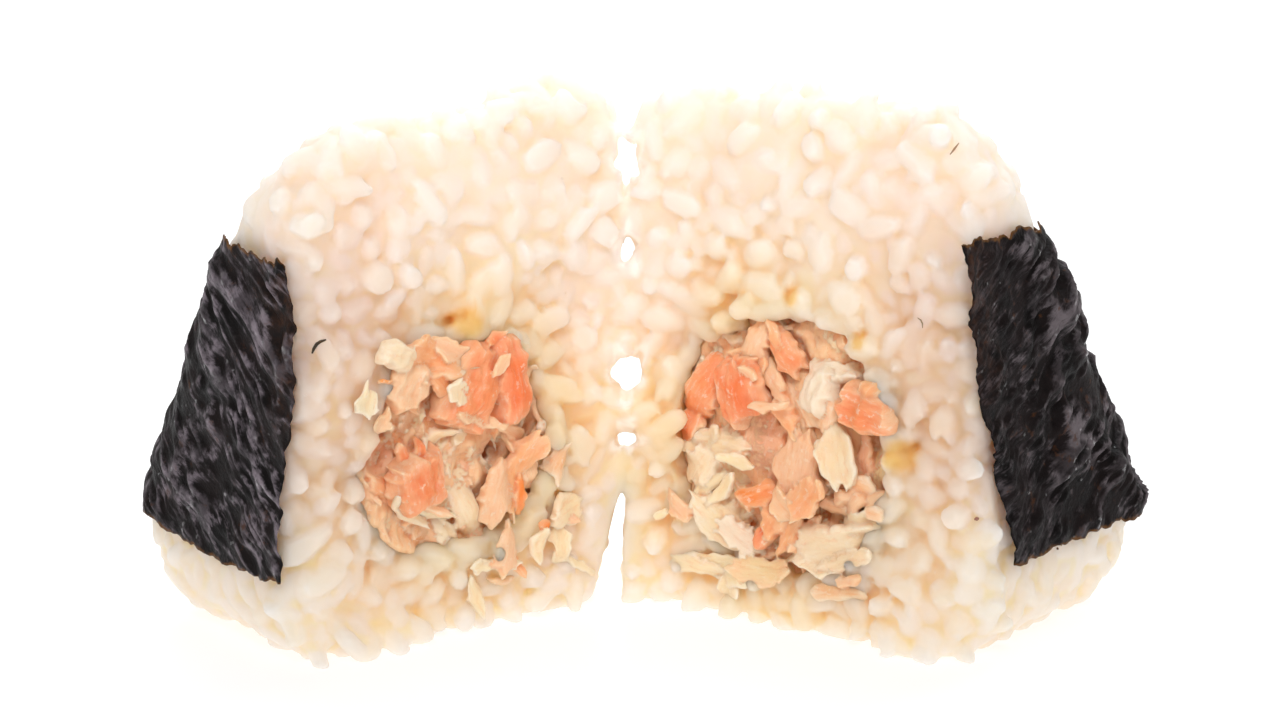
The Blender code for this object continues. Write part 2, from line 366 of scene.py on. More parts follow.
def outlineDistance(x, z, half):
    # how far a place is outside the closed half's front outline
    corner, apex, away = slantOf(half)
    along = np.array([-away[1], away[0]])
    place = np.stack([np.maximum(x, 0), z], 1)
    fromCorner, fromApex = place - corner, place - apex
    low = fromCorner @ along < 0
    high = fromApex @ along > 0
    distance = fromCorner @ away - ball["cornerRadius"]
    arcLow = np.linalg.norm(fromCorner, axis=1) - ball["cornerRadius"]
    arcHigh = np.linalg.norm(fromApex, axis=1) - ball["apexRadius"]
    distance = np.where(low, arcLow, distance)
    distance = np.where(high, arcHigh, distance)
    return np.where(low & (place[:, 0] < corner[0]), -z, distance)


def mouldDistance(points, half):
    # how far a place on the closed half is outside the skin that the mould gave it
    x, y, z = points.T
    rounding = ball["edgeRadius"]
    sides = outlineDistance(x, z, half) + rounding
    faces = np.abs(y) - (ball["thickness"] / 2 - rounding)
    outer = np.hypot(np.maximum(sides, 0), np.maximum(faces, 0))
    return outer + np.minimum(np.maximum(sides, faces), 0) - rounding


def mouldNormal(points, half):
    step = 0.05 * mm
    slopes = []
    for axis in np.eye(3) * step:
        slopes.append(mouldDistance(points + axis, half) - mouldDistance(points - axis, half))
    normal = np.stack(slopes, 1)
    return normal / np.maximum(np.linalg.norm(normal, axis=1, keepdims=True), 1e-9)


def inNoriStrip(points, half, margin):
    foot, top = half["nori"]
    starts = half["noriStarts"]
    x, y, z = points.T
    first = starts[0] + (starts[1] - starts[0]) * np.clip((z - foot) / (top - foot), 0, 1)
    tall = (z > foot - margin) & (z < top + margin)
    return (x > first - margin) & (y < ball["noriBack"] + margin) & tall


def fillingShareOf(closed, half, axes=(0, 1, 2)):
    # below 1 inside the closed half's filling, or inside its outline seen along the axis left out
    away = (closed - np.array(half["fillingCentre"])) / np.array(half["fillingRadii"])
    return np.sqrt((away[:, axes] ** 2).sum(1))


def fillingNearnessOf(points):
    # the same for whichever filling is nearer, 9 far from both
    shares = []
    for half in halves.values():
        closed = toClosed(points, half)
        share = fillingShareOf(closed, half)
        share[closed[:, 0] > 25 * mm] = 9
        shares.append(share)
    return np.minimum(*shares)


grain = {
    "kinds": 8,
    "length": 5.9 * mm,
    "width": 2.95 * mm,
    "depth": 2.55 * mm,
    "spread": 0.1,
    "seed": 41,
}


def modelGrain(number, random):
    # a cooked short grain: blunt ellipsoid, one end nicked where the germ was, a little bent
    deselect()
    bpy.ops.mesh.primitive_uv_sphere_add(segments=10, ring_count=6, radius=1.0)
    obj = current(f"grain{number}")
    bpy.ops.object.mode_set(mode="EDIT")
    bpy.ops.mesh.select_all(action="SELECT")
    size = [grain["width"] / 2, grain["depth"] / 2, grain["length"] / 2]
    bpy.ops.transform.resize(value=[s * (1 + random.normal(0, grain["spread"])) for s in size])
    bpy.ops.mesh.select_all(action="DESELECT")
    bpy.ops.object.mode_set(mode="OBJECT")
    tip = grain["length"] * 0.33
    for vert in obj.data.vertices:
        vert.select = vert.co.z > tip * 0.8 and vert.co.x > 0.1 * mm
    bpy.ops.object.mode_set(mode="EDIT")
    bpy.ops.transform.translate(value=(-0.35 * mm, 0, -0.45 * mm * random.uniform(0.3, 1.4)))
    bpy.ops.object.mode_set(mode="OBJECT")
    for vert in obj.data.vertices:
        blunt = 1 + 0.32 * smoothStep((abs(vert.co.z) / grain["length"] * 2 - 0.35) / 0.5)
        vert.co.x *= blunt
        vert.co.y *= blunt
    bend = obj.modifiers.new("bend", "SIMPLE_DEFORM")
    bend.deform_method = "BEND"
    bend.deform_axis = "Y"
    bend.angle = math.radians(random.uniform(6, 26))
    applyModifiers(obj)
    mesh = obj.data
    points = meshPoints(mesh)
    dents = [noise.noise_vector(Vector(p) / (2.2 * mm) + Vector((number * 7.3, 0, 0))) for p in points]
    points = points + np.array(dents) * 0.3 * mm
    points -= points.mean(axis=0)
    made = {"points": points, "faces": meshFaces(mesh)}
    bpy.data.objects.remove(obj)
    return made


grainRandom = np.random.default_rng(grain["seed"])
grainMasters = [modelGrain(n, grainRandom) for n in range(grain["kinds"])]
print("grains modelled:", len(grainMasters))


def coreCopy(name, node):
    # a merged copy of a solid, on which things are laid
    mesh = nodes[node].data.copy()
    obj = bpy.data.objects.new(name, mesh)
    bpy.context.scene.collection.objects.link(obj)
    makeActive(obj)
    bpy.ops.object.mode_set(mode="EDIT")
    bpy.ops.mesh.select_all(action="SELECT")
    bpy.ops.mesh.remove_doubles(threshold=0.01 * mm)
    bpy.ops.object.mode_set(mode="OBJECT")
    return obj


def spreadOver(obj, count, random):
    # places and smooth normals all over a mesh, as many to each square millimetre
    mesh = obj.data
    mesh.calc_loop_triangles()
    corners = np.empty(len(mesh.loop_triangles) * 3, np.int32)
    mesh.loop_triangles.foreach_get("vertices", corners)
    corners = corners.reshape(-1, 3)
    points, normals = meshPoints(mesh), vertexNormals(mesh)
    a, b, c = (points[corners[:, i]] for i in range(3))
    area = np.linalg.norm(np.cross(b - a, c - a), axis=1) / 2
    pick = random.choice(len(area), size=count, p=area / area.sum())
    u, v = random.random((2, count))
    over = u + v > 1
    u[over], v[over] = 1 - u[over], 1 - v[over]
    share = np.stack([1 - u - v, u, v], 1)
    places = (points[corners[pick]] * share[:, :, None]).sum(1)
    directions = (normals[corners[pick]] * share[:, :, None]).sum(1)
    return places, directions / np.linalg.norm(directions, axis=1, keepdims=True)


def thinOut(places, apart, allowed):
    # the places that are left when each keeps the next ones at a distance
    kept, cells = [], {}
    for index in np.flatnonzero(allowed):
        place = places[index]
        cell = tuple((place // apart).astype(int))
        near = [
            other
            for dx in (-1, 0, 1)
            for dy in (-1, 0, 1)
            for dz in (-1, 0, 1)
            for other in cells.get((cell[0] + dx, cell[1] + dy, cell[2] + dz), ())
        ]
        if all(np.dot(places[o] - place, places[o] - place) > apart * apart for o in near):
            cells.setdefault(cell, []).append(index)
            kept.append(index)
    return np.array(kept)


# the uneven top: place across and how far it is raised there, in mm
crown = {
    "left": ((-46, 0), (-41, -2.2), (-36, 0), (-23, -0.6), (-14, 1.7), (-9, 2.2), (-4, 0.5)),
    "right": ((5, 0.8), (10, 0.5), (18, 1.5), (27, -0.3), (32, 2.2), (41, 0.8), (48, 0)),
    "from": 44 * mm,
    "over": 12 * mm,
}
cleft = {"foot": 57.6, "width": 0.7, "steep": 4.0}


def atTopOf(points):
    return smoothStep((points[:, 2] - 38 * mm) / (16 * mm))


def raiseTop(points):
    places, rises = np.array(crown["left"] + crown["right"]).T
    high = smoothStep((points[:, 2] - crown["from"]) / crown["over"])
    points[:, 2] += np.interp(points[:, 0] / mm, places, rises) * mm * high
    return points


riceCore = coreCopy("riceCore", "rice")
setPoints(riceCore.data, raiseTop(meshPoints(riceCore.data)))
coreTree = BVHTree.FromObject(riceCore, bpy.context.evaluated_depsgraph_get())
laying = {
    "tries": 60000,
    "seed": 7,
    "tornFrom": 3.0 * mm,
    "hollowDepth": 14 * mm,
    "rimWidth": 2.2 * mm,
    "rimDepth": 4 * mm,
    "underNori": 5 * mm,
    "besideNori": 3 * mm,
    "blockedShare": 0.16,
    # which spots, apart, tilt, share on end, height, its spread, pressed flat at, seed; in mm
    "layers": (
        ("torn", 2.15, 0.35, 0.30, -1.0, 0.35, 0.8, 101),
        ("torn", 3.5, 0.35, 0.22, -0.2, 0.5, 1.5, 103),
        ("moulded", 2.3, 0.2, 0.04, -0.65, 0.3, 0.9, 102),
        ("rim", 3.3, 0.5, 0.45, -0.1, 0.5, 1.9, 104),
        ("foot", 3.0, 0.3, 0.75, 0.5, 0.6, 3.4, 105),
    ),
}
layRandom = np.random.default_rng(laying["seed"])
spots, outward = spreadOver(riceCore, laying["tries"], layRandom)
closedSpots = byHalf(spots, lambda half: toClosed(spots, half))
closedOutward = (byHalf(spots, lambda half: toClosed(spots + outward * mm, half)) - closedSpots) / mm

isBase = spots[:, 2] < 0.4 * mm
isHollow = byHalf(spots, lambda half: fillingShareOf(closedSpots, half)) < 1.12
isHollow &= closedSpots[:, 0] > -0.5 * mm
isHollow |= byHalf(spots, lambda half: fillingShareOf(closedSpots, half, (1, 2))) < 0.97
isHollow &= closedSpots[:, 0] < laying["hollowDepth"]
isTorn = (closedSpots[:, 0] < laying["tornFrom"]) & (closedOutward[:, 0] < -0.35)
isCovered = byHalf(spots, lambda half: inNoriStrip(closedSpots, half, -laying["underNori"])) & ~isTorn
isBeside = byHalf(spots, lambda half: inNoriStrip(closedSpots, half, laying["besideNori"]))
isRim = byHalf(spots, lambda half: mouldDistance(closedSpots, half)) > -laying["rimWidth"]
isRim &= (closedSpots[:, 0] < laying["rimDepth"]) & ~isBeside
isFoot = isTorn & (spots[:, 2] < 3.2 * mm)
print("spots on torn faces:", int(isTorn.sum()), "covered by nori:", int(isCovered.sum()))


hinge = {
    "slope": math.radians(14),
    "holes": ((19.5, 2.4, 3.0), (27.4, 3.3, 4.8), (42.4, 2.1, 4.0), (52.9, 2.9, 6.0)),  # height, size
    "flare": 0.16 / mm,
    "splitTop": 15.5 * mm,
    "splitWidths": (3.6 * mm, 0.9 * mm),
    "splitLean": 3.2 * mm,
    "reach": 15 * mm,
}


def hingeFrame(points, height):
    # places across, up and along the line of sight through the hinge at a height
    x, y = points[:, 0] - ball["hinge"][0], points[:, 1] - ball["hinge"][1]
    z = points[:, 2] - height
    c, s = math.cos(hinge["slope"]), math.sin(hinge["slope"])
    return x, y, z * c + y * s, y * c - z * s


def gapShare(points, hole):
    # below 1 inside a small ragged gap through the hinge, which opens out towards the back
    height, width, tall = hole
    x, y, up, along = hingeFrame(points, height * mm)
    across, rise = x / (width * mm / 2), up / (tall * mm / 2)
    turn = np.arctan2(rise, across)
    ragged = 1 + 0.36 * np.cos(5 * turn + height) + 0.24 * np.cos(3 * turn + 2 * height)
    opened = 1 + np.maximum(y, 0) * hinge["flare"]
    share = np.hypot(across, rise) / (ragged * opened)
    share[np.abs(along) > hinge["reach"]] = 9
    return share


def gapShares(points):
    return np.minimum.reduce([gapShare(points, hole) for hole in hinge["holes"]])


def clearGaps(points):
    # moves what lies in a gap out to its wall, and lowers what stands in the cleft at the top
    rise = math.tan(hinge["slope"])
    aside = np.maximum(np.abs(points[:, 0] - ball["hinge"][0]) / mm - cleft["width"], 0)
    highest = (cleft["foot"] + cleft["steep"] * aside) * mm - np.maximum(points[:, 1], 0) * rise
    points[:, 2] = np.minimum(points[:, 2], highest)
    for hole in hinge["holes"]:
        share = gapShare(points, hole)
        inside = share < 1
        middle = points[inside].copy()
        middle[:, 0] = ball["hinge"][0]
        middle[:, 2] = hole[0] * mm - (middle[:, 1] - ball["hinge"][1]) * rise
        away = np.minimum(1 / np.maximum(share[inside], 0.2), 3.0)
        points[inside] = middle + (points[inside] - middle) * away[:, None]
    return points


def inHinge(points):
    # where one can see through between the halves
    x, _, up, along = hingeFrame(points, 0)
    low, top = hinge["splitWidths"]
    share = (up + low) / (hinge["splitTop"] + low)
    wide = (low + (top - low) * share) / 2
    lean = -hinge["splitLean"] * (1 - share)
    split = (np.abs(x - lean) < wide) & (share < 1) & (np.abs(along) < hinge["reach"])
    return split | (gapShares(points) < 1)


def grainSpots(chosen, tilt, ends, lift, liftSpread, random):
    # a turn and a place for each grain: its length runs along the surface, tipped by tilt at most
    matrices = []
    for index in chosen:
        up = outward[index]
        side = np.cross(up, random.normal(size=3))
        side /= np.linalg.norm(side)
        lean = random.normal(0, tilt) if random.random() > ends else random.uniform(0.7, 1.57)
        along = side * math.cos(lean) + up * math.sin(lean)
        roll = random.normal(0, 0.5)
        across = np.cross(up, along)
        across /= np.linalg.norm(across)
        top = np.cross(along, across)
        wide = across * math.cos(roll) + top * math.sin(roll)
        deep = np.cross(along, wide)
        matrix = np.eye(4)
        size = random.uniform(0.55, 0.8) if random.random() < 0.18 else random.normal(1, 0.08)
        matrix[:3, 0], matrix[:3, 1], matrix[:3, 2] = wide * size, deep * size, along * size
        matrix[:3, 3] = spots[index] + up * (lift + random.normal(0, liftSpread))
        matrices.append(matrix)
    return matrices


def keepUnderNori(points):
    # grains are pressed in where the nori lies on them, and none goes below the base
    for half in halves.values():
        mine = inHalf(points, half)
        closed = toClosed(points[mine], half)
        near = inNoriStrip(closed, half, 3.0 * mm) & (closed[:, 0] > -6 * mm)
        place = closed[near]
        for _ in range(2):
            over = np.maximum(mouldDistance(place, half) - 0.05 * mm, 0)
            place = place - mouldNormal(place, half) * over[:, None]
        closed[near] = place
        points[mine] = toOpen(closed, half)
    points[:, 2] = np.maximum(points[:, 2], 0.05 * mm)
    return points


def layGrains(allowed, apart, tilt, ends, lift, liftSpread, press, seed):
    # one layer of grains over the allowed spots, pressed flat above the height press
    random = np.random.default_rng(seed)
    chosen = thinOut(spots, apart * mm, allowed)
    matrices = grainSpots(chosen, tilt, ends, lift * mm, liftSpread * mm, random)
    picks = random.integers(0, len(grainMasters), len(chosen))
    points, _, owner = joinedCopies(grainMasters, picks, matrices)
    blocked = np.bincount(owner, inHinge(points)) / np.bincount(owner) > laying["blockedShare"]
    chosen, picks = chosen[~blocked], picks[~blocked]
    matrices = [matrix for matrix, shut in zip(matrices, blocked) if not shut]
    points, faces, owner = joinedCopies(grainMasters, picks, matrices)
    base, up = spots[chosen][owner], outward[chosen][owner]
    over = np.maximum(((points - base) * up).sum(1) - press * mm, 0)
    points = clearGaps(keepUnderNori(points - up * (over * 0.8)[:, None]))
    tone = random.random(len(chosen))[owner]
    return {"points": points, "faces": faces, "tone": tone, "count": len(chosen)}


def grainPiece(name, layers):
    # layers of grains made into one mesh
    points = np.concatenate([layer["points"] for layer in layers])
    faces, start = {3: [], 4: []}, 0
    for layer in layers:
        for size in faces:
            faces[size].append(layer["faces"][size] + start)
        start += len(layer["points"])
    print(name, "grains:", sum(layer["count"] for layer in layers))
    return meshObject(name, points, {size: np.concatenate(faces[size]) for size in faces})


def lookUpGrains(layers):
    # finds the grain nearest to a place, and each face's own tone
    points = np.concatenate([layer["points"] for layer in layers])
    faces, tones, start = [], [], 0
    for layer in layers:
        for corners in layer["faces"].values():
            faces += (corners + start).tolist()
            tones.append(layer["tone"][corners[:, 0]])
        start += len(layer["points"])
    return BVHTree.FromPolygons(points.tolist(), faces), np.concatenate(tones)


# hollows in the torn face: half, place across and up, radius and depth in mm
pits = (
    ("left", (-1.5, 38.1), 1.5, 2.8),
    ("right", (-14.6, 24.2), 1.6, 2.8),
    ("right", (-1.0, 40.9), 0.9, 1.6),
    ("right", (-9.6, 36.8), 0.8, 1.4),
)


def pitShare(points, side, place, radius):
    # 0 at a pit's middle, 1 at its rim, 9 away from that half's torn face
    closed = toClosed(points, halves[side]) / mm
    share = np.hypot(closed[:, 1] - place[0], closed[:, 2] - place[1]) / radius
    return np.where((np.abs(closed[:, 0]) < 4.5) & inHalf(points, halves[side]), share, 9.0)


def pitShares(points):
    return np.minimum.reduce([pitShare(points, *facts) for *facts, _ in pits])


def pitDepths(points):
    # how far the paste lies back in the pits
    depths = [smoothStep(1.5 - pitShare(points, *facts)) * deep * mm for *facts, deep in pits]
    return np.maximum.reduce(depths)


free = ~isBase & ~isHollow & ~isCovered & (pitShares(spots) > 1)
groups = {"torn": isTorn, "moulded": ~isTorn, "rim": isRim, "foot": isFoot}
massLayers = [layGrains(free & groups[group], *facts) for group, *facts in laying["layers"]]
massGrains = grainPiece("riceMass", massLayers)
grainTree, grainTones = lookUpGrains(massLayers)

# the paste between the grains: nearly level with them in some patches, far below in others
mass = {
    "patches": 7.5 * mm,
    "grit": 1.7 * mm,
    "gapGrit": 1.1 * mm,
    "cell": 0.36 * mm,
    "softening": 2,
    "smallestLump": 1000,
    "triangles": 198000,
}


def roughness(points, scale, offset=0):
    return np.array([noise.noise(Vector(p) / scale + Vector((offset, 0, 0))) for p in points])


makeActive(riceCore)
finer = riceCore.modifiers.new("finer", "SUBSURF")
finer.levels = 2
finer.render_levels = 2
finer.subdivision_type = "SIMPLE"
applyModifiers(riceCore)
riceCore.data.shade_smooth()
paste = meshPoints(riceCore.data)
level, grit = roughness(paste, mass["patches"]), roughness(paste, mass["grit"])
rise = (0.8 * level + 0.35 * grit - 0.15) * mm
rise += atTopOf(paste) * 0.35 * mm  # a smoother crown
rise = np.where(fillingNearnessOf(paste) < 1.15, -0.1 * mm, rise)
atGap = smoothStep(2.6 - gapShares(paste))
rise = rise * (1 - atGap) + atGap * (roughness(paste, mass["gapGrit"], 9) - 0.1) * mm - pitDepths(paste)
setPoints(riceCore.data, clearGaps(paste + vertexNormals(riceCore.data) * rise[:, None]))
riceMass = joinPieces("riceMass", [massGrains, riceCore])
growTogether(riceMass, mass["cell"], mass["softening"])
print("rice fused:", len(riceMass.data.polygons), "faces")


def outerShells(obj, smallest):
    # leaves out the pockets that are shut in, and the lumps under a volume in cubic mm
    mesh = obj.data
    a, b = meshEdges(mesh)
    label = np.arange(len(mesh.vertices))
    while True:
        low = np.minimum(label[a], label[b])
        fresh = label.copy()
        np.minimum.at(fresh, a, low)
        np.minimum.at(fresh, b, low)
        fresh = fresh[fresh]
        if (fresh == label).all():
            break
        label = fresh
    points, faces = meshPoints(mesh), meshFaces(mesh)
    volume = np.zeros(len(points))
    for size, corners in faces.items():
        for step in range(1, size - 1):
            first, second, third = (points[corners[:, i]] / mm for i in (0, step, step + 1))
            share = (first * np.cross(second, third)).sum(1) / 6
            volume += np.bincount(label[corners[:, 0]], share, len(points))
    keep = volume[label] > smallest
    number = np.cumsum(keep) - 1
    faces = {size: number[f[keep[f[:, 0]]]] for size, f in faces.items()}
    fresh = meshObject(obj.name, points[keep], faces)
    bpy.data.objects.remove(obj)
    return fresh


riceMass = outerShells(riceMass, mass["smallestLump"])
riceMass.name = "riceMass"
resting = meshPoints(riceMass.data)
resting[:, 2] = np.maximum(resting[:, 2], 0)
setPoints(riceMass.data, resting)
print("outer shell:", len(riceMass.data.polygons), "faces")
keepTriangles(riceMass, mass["triangles"])
print("rice mass:", len(riceMass.data.polygons), "faces")


def hollowness(mesh, rounds):
    # how far each point lies below its surroundings, in metres
    a, b = meshEdges(mesh)
    points = meshPoints(mesh)
    count = np.bincount(a, minlength=len(points)) + np.bincount(b, minlength=len(points))
    smooth = points.copy()
    for _ in range(rounds):
        total = np.zeros_like(points)
        for axis in range(3):
            total[:, axis] += np.bincount(a, smooth[b, axis], len(points))
            total[:, axis] += np.bincount(b, smooth[a, axis], len(points))
        smooth = total / count[:, None]
    return ((smooth - points) * vertexNormals(mesh)).sum(1)


def shadeAtOuterEdge(closed):
    # painted shade: the torn face's outer edge, away from the seam, the foot and the top, which gets less
    # light
    beside = smoothStep((-6 * mm - closed[:, 1]) / (12 * mm)) * smoothStep(2 - closed[:, 0] / (4 * mm))
    beside = beside * smoothStep((closed[:, 2] - 12 * mm) / (12 * mm))
    return beside * (1 - 0.75 * smoothStep((closed[:, 2] - 40 * mm) / (14 * mm)))


def oiledBy(half, closed):
    # the oil of the filling has gone further towards the seam
    seamSide = smoothStep((closed[:, 1] - half["fillingCentre"][1] + 10 * mm) / (16 * mm))
    return 0.30 + 0.70 * seamSide


def markMass(mesh):
    # what the rice material reads
    points = meshPoints(mesh)
    count = len(points)
    height, tone, bare = np.empty(count), np.empty(count), np.empty(count)
    for index, point in enumerate(points):
        place, normal, _, _ = coreTree.find_nearest(Vector(point))
        height[index] = (Vector(point) - place).dot(normal)
        _, _, face, bare[index] = grainTree.find_nearest(Vector(point))
        tone[index] = grainTones[face]
    nearness = fillingNearnessOf(points)
    atSeam = smoothStep((11 * mm - np.abs(points[:, 0] - ball["hinge"][0])) / (7 * mm))
    atSeam = atSeam * smoothStep((points[:, 2] - 26 * mm) / (12 * mm))
    spread = byHalf(points, lambda half: oiledBy(half, toClosed(points, half)))
    marks = {
        "height": height,
        "shadedCrease": hollowness(mesh, 6),
        "stain": nearness,
        "tone": tone,
        "bare": bare,
        "outer": byHalf(points, lambda half: shadeAtOuterEdge(toClosed(points, half))),
        "oil": smoothStep((2.0 - nearness) / 0.9) * spread,
        "pit": smoothStep(1.7 - pitShares(points)),
        # where light is painted: at the top and the seam, and as glow round the gaps through the hinge
        "topAndSeamLight": np.maximum(atTopOf(points), atSeam),
        "glow": np.maximum(smoothStep((1.8 - gapShares(points)) / 0.8), 0.35 * atSeam),
    }
    for name, values in marks.items():
        storeValue(mesh, name, values)


markMass(riceMass.data)
print("rice mass marked")


def riceLooks(name, scatter):
    looks = Looks(
        name,
        {
            "Subsurface Weight": 1.0,
            "Subsurface Radius": (1.0, 0.96, 0.88),
            "Subsurface Scale": scatter,
            "Subsurface Anisotropy": 0.3,
            "IOR": 1.36,
            "Specular IOR Level": 0.35,
            "Emission Strength": 1.0,
        },
    )
    tone = looks.attribute("tone")
    height = looks.attribute("height")
    stain = looks.attribute("stain")
    shadedCrease = looks.attribute("shadedCrease")
    bare = looks.attribute("bare")
    chalk = looks.between(looks.noise(420, 2.0), 0.45, 0.7)
    grains = looks.mix(tone, (0.94, 0.75, 0.57), (0.95, 0.80, 0.69))
    grains = looks.mix(chalk * 0.3, grains, (0.96, 0.83, 0.73))
    # the paste between the grains is yellower than they are: starch colour, and painted glow of light
    # shining through the gaps
    creamy = looks.between(looks.noise(120, 2.0), 0.4, 0.6)
    paste = looks.mix(creamy, (0.94, 0.79, 0.59), (0.94, 0.77, 0.52))
    colour = looks.mix(looks.between(bare, 0.12 * mm, 0.45 * mm) * 0.7, grains, paste)
    # painted glow and shade: low spots and creases between the grains are tinted warm yellow, orange
    # towards the filling
    deep = looks.between(height, 0.3 * mm, -1.6 * mm)
    creaseGlow = looks.between(shadedCrease, 0.0, 0.2 * mm)
    paintedCreviceGlow = looks.mix(looks.between(stain, 1.9, 1.05), (0.95, 0.78, 0.46), (0.92, 0.56, 0.26))
    colour = looks.mix(deep * 0.35 + creaseGlow * 0.30, colour, paintedCreviceGlow)
    oiled = looks.between(stain, 1.7, 1.0)
    patch = looks.between(looks.noise(150, 2.0), 0.42, 0.62)
    colour = looks.mix(oiled * patch * 0.25, colour, (0.93, 0.62, 0.36))
    golden = looks.mix(1.0, colour, (1.0, 0.89, 0.69), "MULTIPLY")
    colour = looks.mix(looks.attribute("oil") * 0.9, colour, golden)
    colour = looks.mix(looks.between(stain, 1.12, 0.94) * 0.6, colour, (0.94, 0.62, 0.36))
    # painted light: the top and the seam are tinted an even pale pinkish cream, as light from above and
    # behind shines on and through them
    colour = looks.mix(looks.attribute("topAndSeamLight") * 0.62, colour, (0.94, 0.79, 0.68))
    # painted glow: round the gaps through the hinge, and a little along the seam, the rice is paler and
    # gives off a faint light, as if lit from behind
    glow = looks.attribute("glow")
    colour = looks.mix(glow * 0.7, colour, (0.96, 0.85, 0.77))
    # painted shade: greyer along the torn faces' outer edges
    shadedOuter = looks.mix(1.0, colour, (0.88, 0.81, 0.80), "MULTIPLY")
    colour = looks.mix(looks.attribute("outer"), colour, shadedOuter)
    # the pits are deep orange: oil stain, with painted shade in the hollow
    colour = looks.mix(looks.attribute("pit") * 0.85, colour, (0.90, 0.46, 0.13))
    looks.feed("Base Color", colour)
    looks.feed("Emission Color", looks.mix(looks.between(glow, 0.4, 1.0), (0, 0, 0), (0.10, 0.09, 0.08)))
    looks.feed("Roughness", 0.38 + looks.noise(900, 2.0) * 0.24)
    looks.bump(looks.noise(1100, 3.0), 0.04 * mm, 0.4)
    return looks.material


riceMass.data.materials.append(riceLooks("cookedRice", 8 * mm))
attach(riceMass, "root")
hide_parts("rice")

noriSheet = {
    "columns": 190,
    "rows": 120,
    "lift": 0.42 * mm,
    "thickness": 0.16 * mm,
    # how ragged the edges are: length in mm, start, height
    "fray": ((1.9, 0, 0.75), (0.7, 9, 0.45), (5.5, 4, 0.45)),
    "tear": ((2.6, 30, 0.55), (0.8, 36, 0.25)),
    # the creases' lengths along and across in mm, and starts
    "broad": (11, 3.4, 1),
    "fold": (5.0, 1.5, 2),
    "fine": (2.2, 0.7, 3),
    "lumps": (3.6, 3.6, 4),
    # each half's edges: pairs of height and way out, or way along and height, in mm
    "left": {
        "inner": (
            (10.4, 0.3), (16, 0.2), (23.5, 0.4), (32.4, -2.0), (40.4, -1.9), (44.5, -0.5), (48.5, 0.9),
        ),
        "top": ((0, 47.3), (6, 47.9), (12.4, 48.4), (16, 47.2), (20, 45.4), (28, 44.0), (60, 43.6)),
        "topLength": 40 * mm,
        "footLength": 57 * mm,
        "foot": ((0, 10.8), (9.8, 10.4), (18.1, 11.2), (24, 12.1), (29.1, 12.7), (60, 13.0)),
        "grainTurn": math.radians(40),
        "calm": 0.0,
        "seed": 5.1,
        # painted sheen: where it starts and is full, how much the brush strokes and crests add, the
        # strokes' stretch, and its pale colour
        "sheenRange": (0.30, 0.86),
        "brush": 1.5,
        "crest": 0.9,
        "strokes": (0.42, 1.5, 1.0),
        "creases": 0.62 * mm,
        "pale": (0.275, 0.230, 0.262),
        "gloss": 0.10,
    },
    "right": {
        "inner": ((11.0, 3.9), (20, 1.3), (31.7, -1.9), (42, -3.8), (50.6, -5.2)),
        "top": ((0, 50.6), (7.5, 50.3), (14.3, 49.9), (19, 48.7), (23, 47.4), (30, 46.2), (60, 45.8)),
        "topLength": 45 * mm,
        "footLength": 56 * mm,
        "foot": ((0, 11.8), (10.2, 11.4), (28.3, 10.8), (60, 11.4)),
        "grainTurn": math.radians(30),
        "calm": 9 * mm,
        "seed": 23.4,
        "sheenRange": (0.40, 0.90),
        "brush": 1.2,
        "crest": 1.15,
        "strokes": (0.34, 2.1, 1.0),
        "creases": 1.15 * mm,
        "pale": (0.160, 0.134, 0.144),
        "gloss": 0.05,
    },
}


def alongLine(stops, value):
    stops = np.array(stops) * mm
    return np.interp(value, stops[:, 0], stops[:, 1])


def noiseAt(x, y, z=0.0):
    # smooth noise, about -1 to 1, at arrays of places
    x, y = np.broadcast_arrays(x, y)
    values = [noise.noise(Vector((a, b, z))) for a, b in zip(x.ravel(), y.ravel())]
    return np.array(values).reshape(x.shape) * 1.6


def raggedEdge(way, waves, seed):
    ragged = 0
    for long, start, high in waves:
        ragged = ragged + noiseAt(way / (long * mm), np.full_like(way, seed + start)) * high
    return ragged * 0.75 * mm


def creased(run, cross, kind, seed):
    long, wide, start = noriSheet[kind]
    return noiseAt(run / (long * mm), cross / (wide * mm), seed + start)


def sheetPlaces(along, z, facts, half):
    # places on the mould's skin for a way along the strip and a height, before wrinkles
    start = alongLine(facts["inner"], z)
    rounding = ball["edgeRadius"]
    frontLength = np.maximum(slantEdge(z, half) - rounding - start, 1 * mm)
    arc = math.pi / 2 * rounding
    sideLength = ball["thickness"] / 2 - rounding + ball["noriBack"]
    way = along * (frontLength + arc + sideLength)
    angle = np.clip((way - frontLength) / rounding, 0, math.pi / 2)
    x = start + np.minimum(way, frontLength) + rounding * np.sin(angle)
    y = -ball["thickness"] / 2 + rounding * (1 - np.cos(angle))
    y = y + np.maximum(way - frontLength - arc, 0)
    return np.stack([x.ravel(), y.ravel(), z.ravel()], 1), way


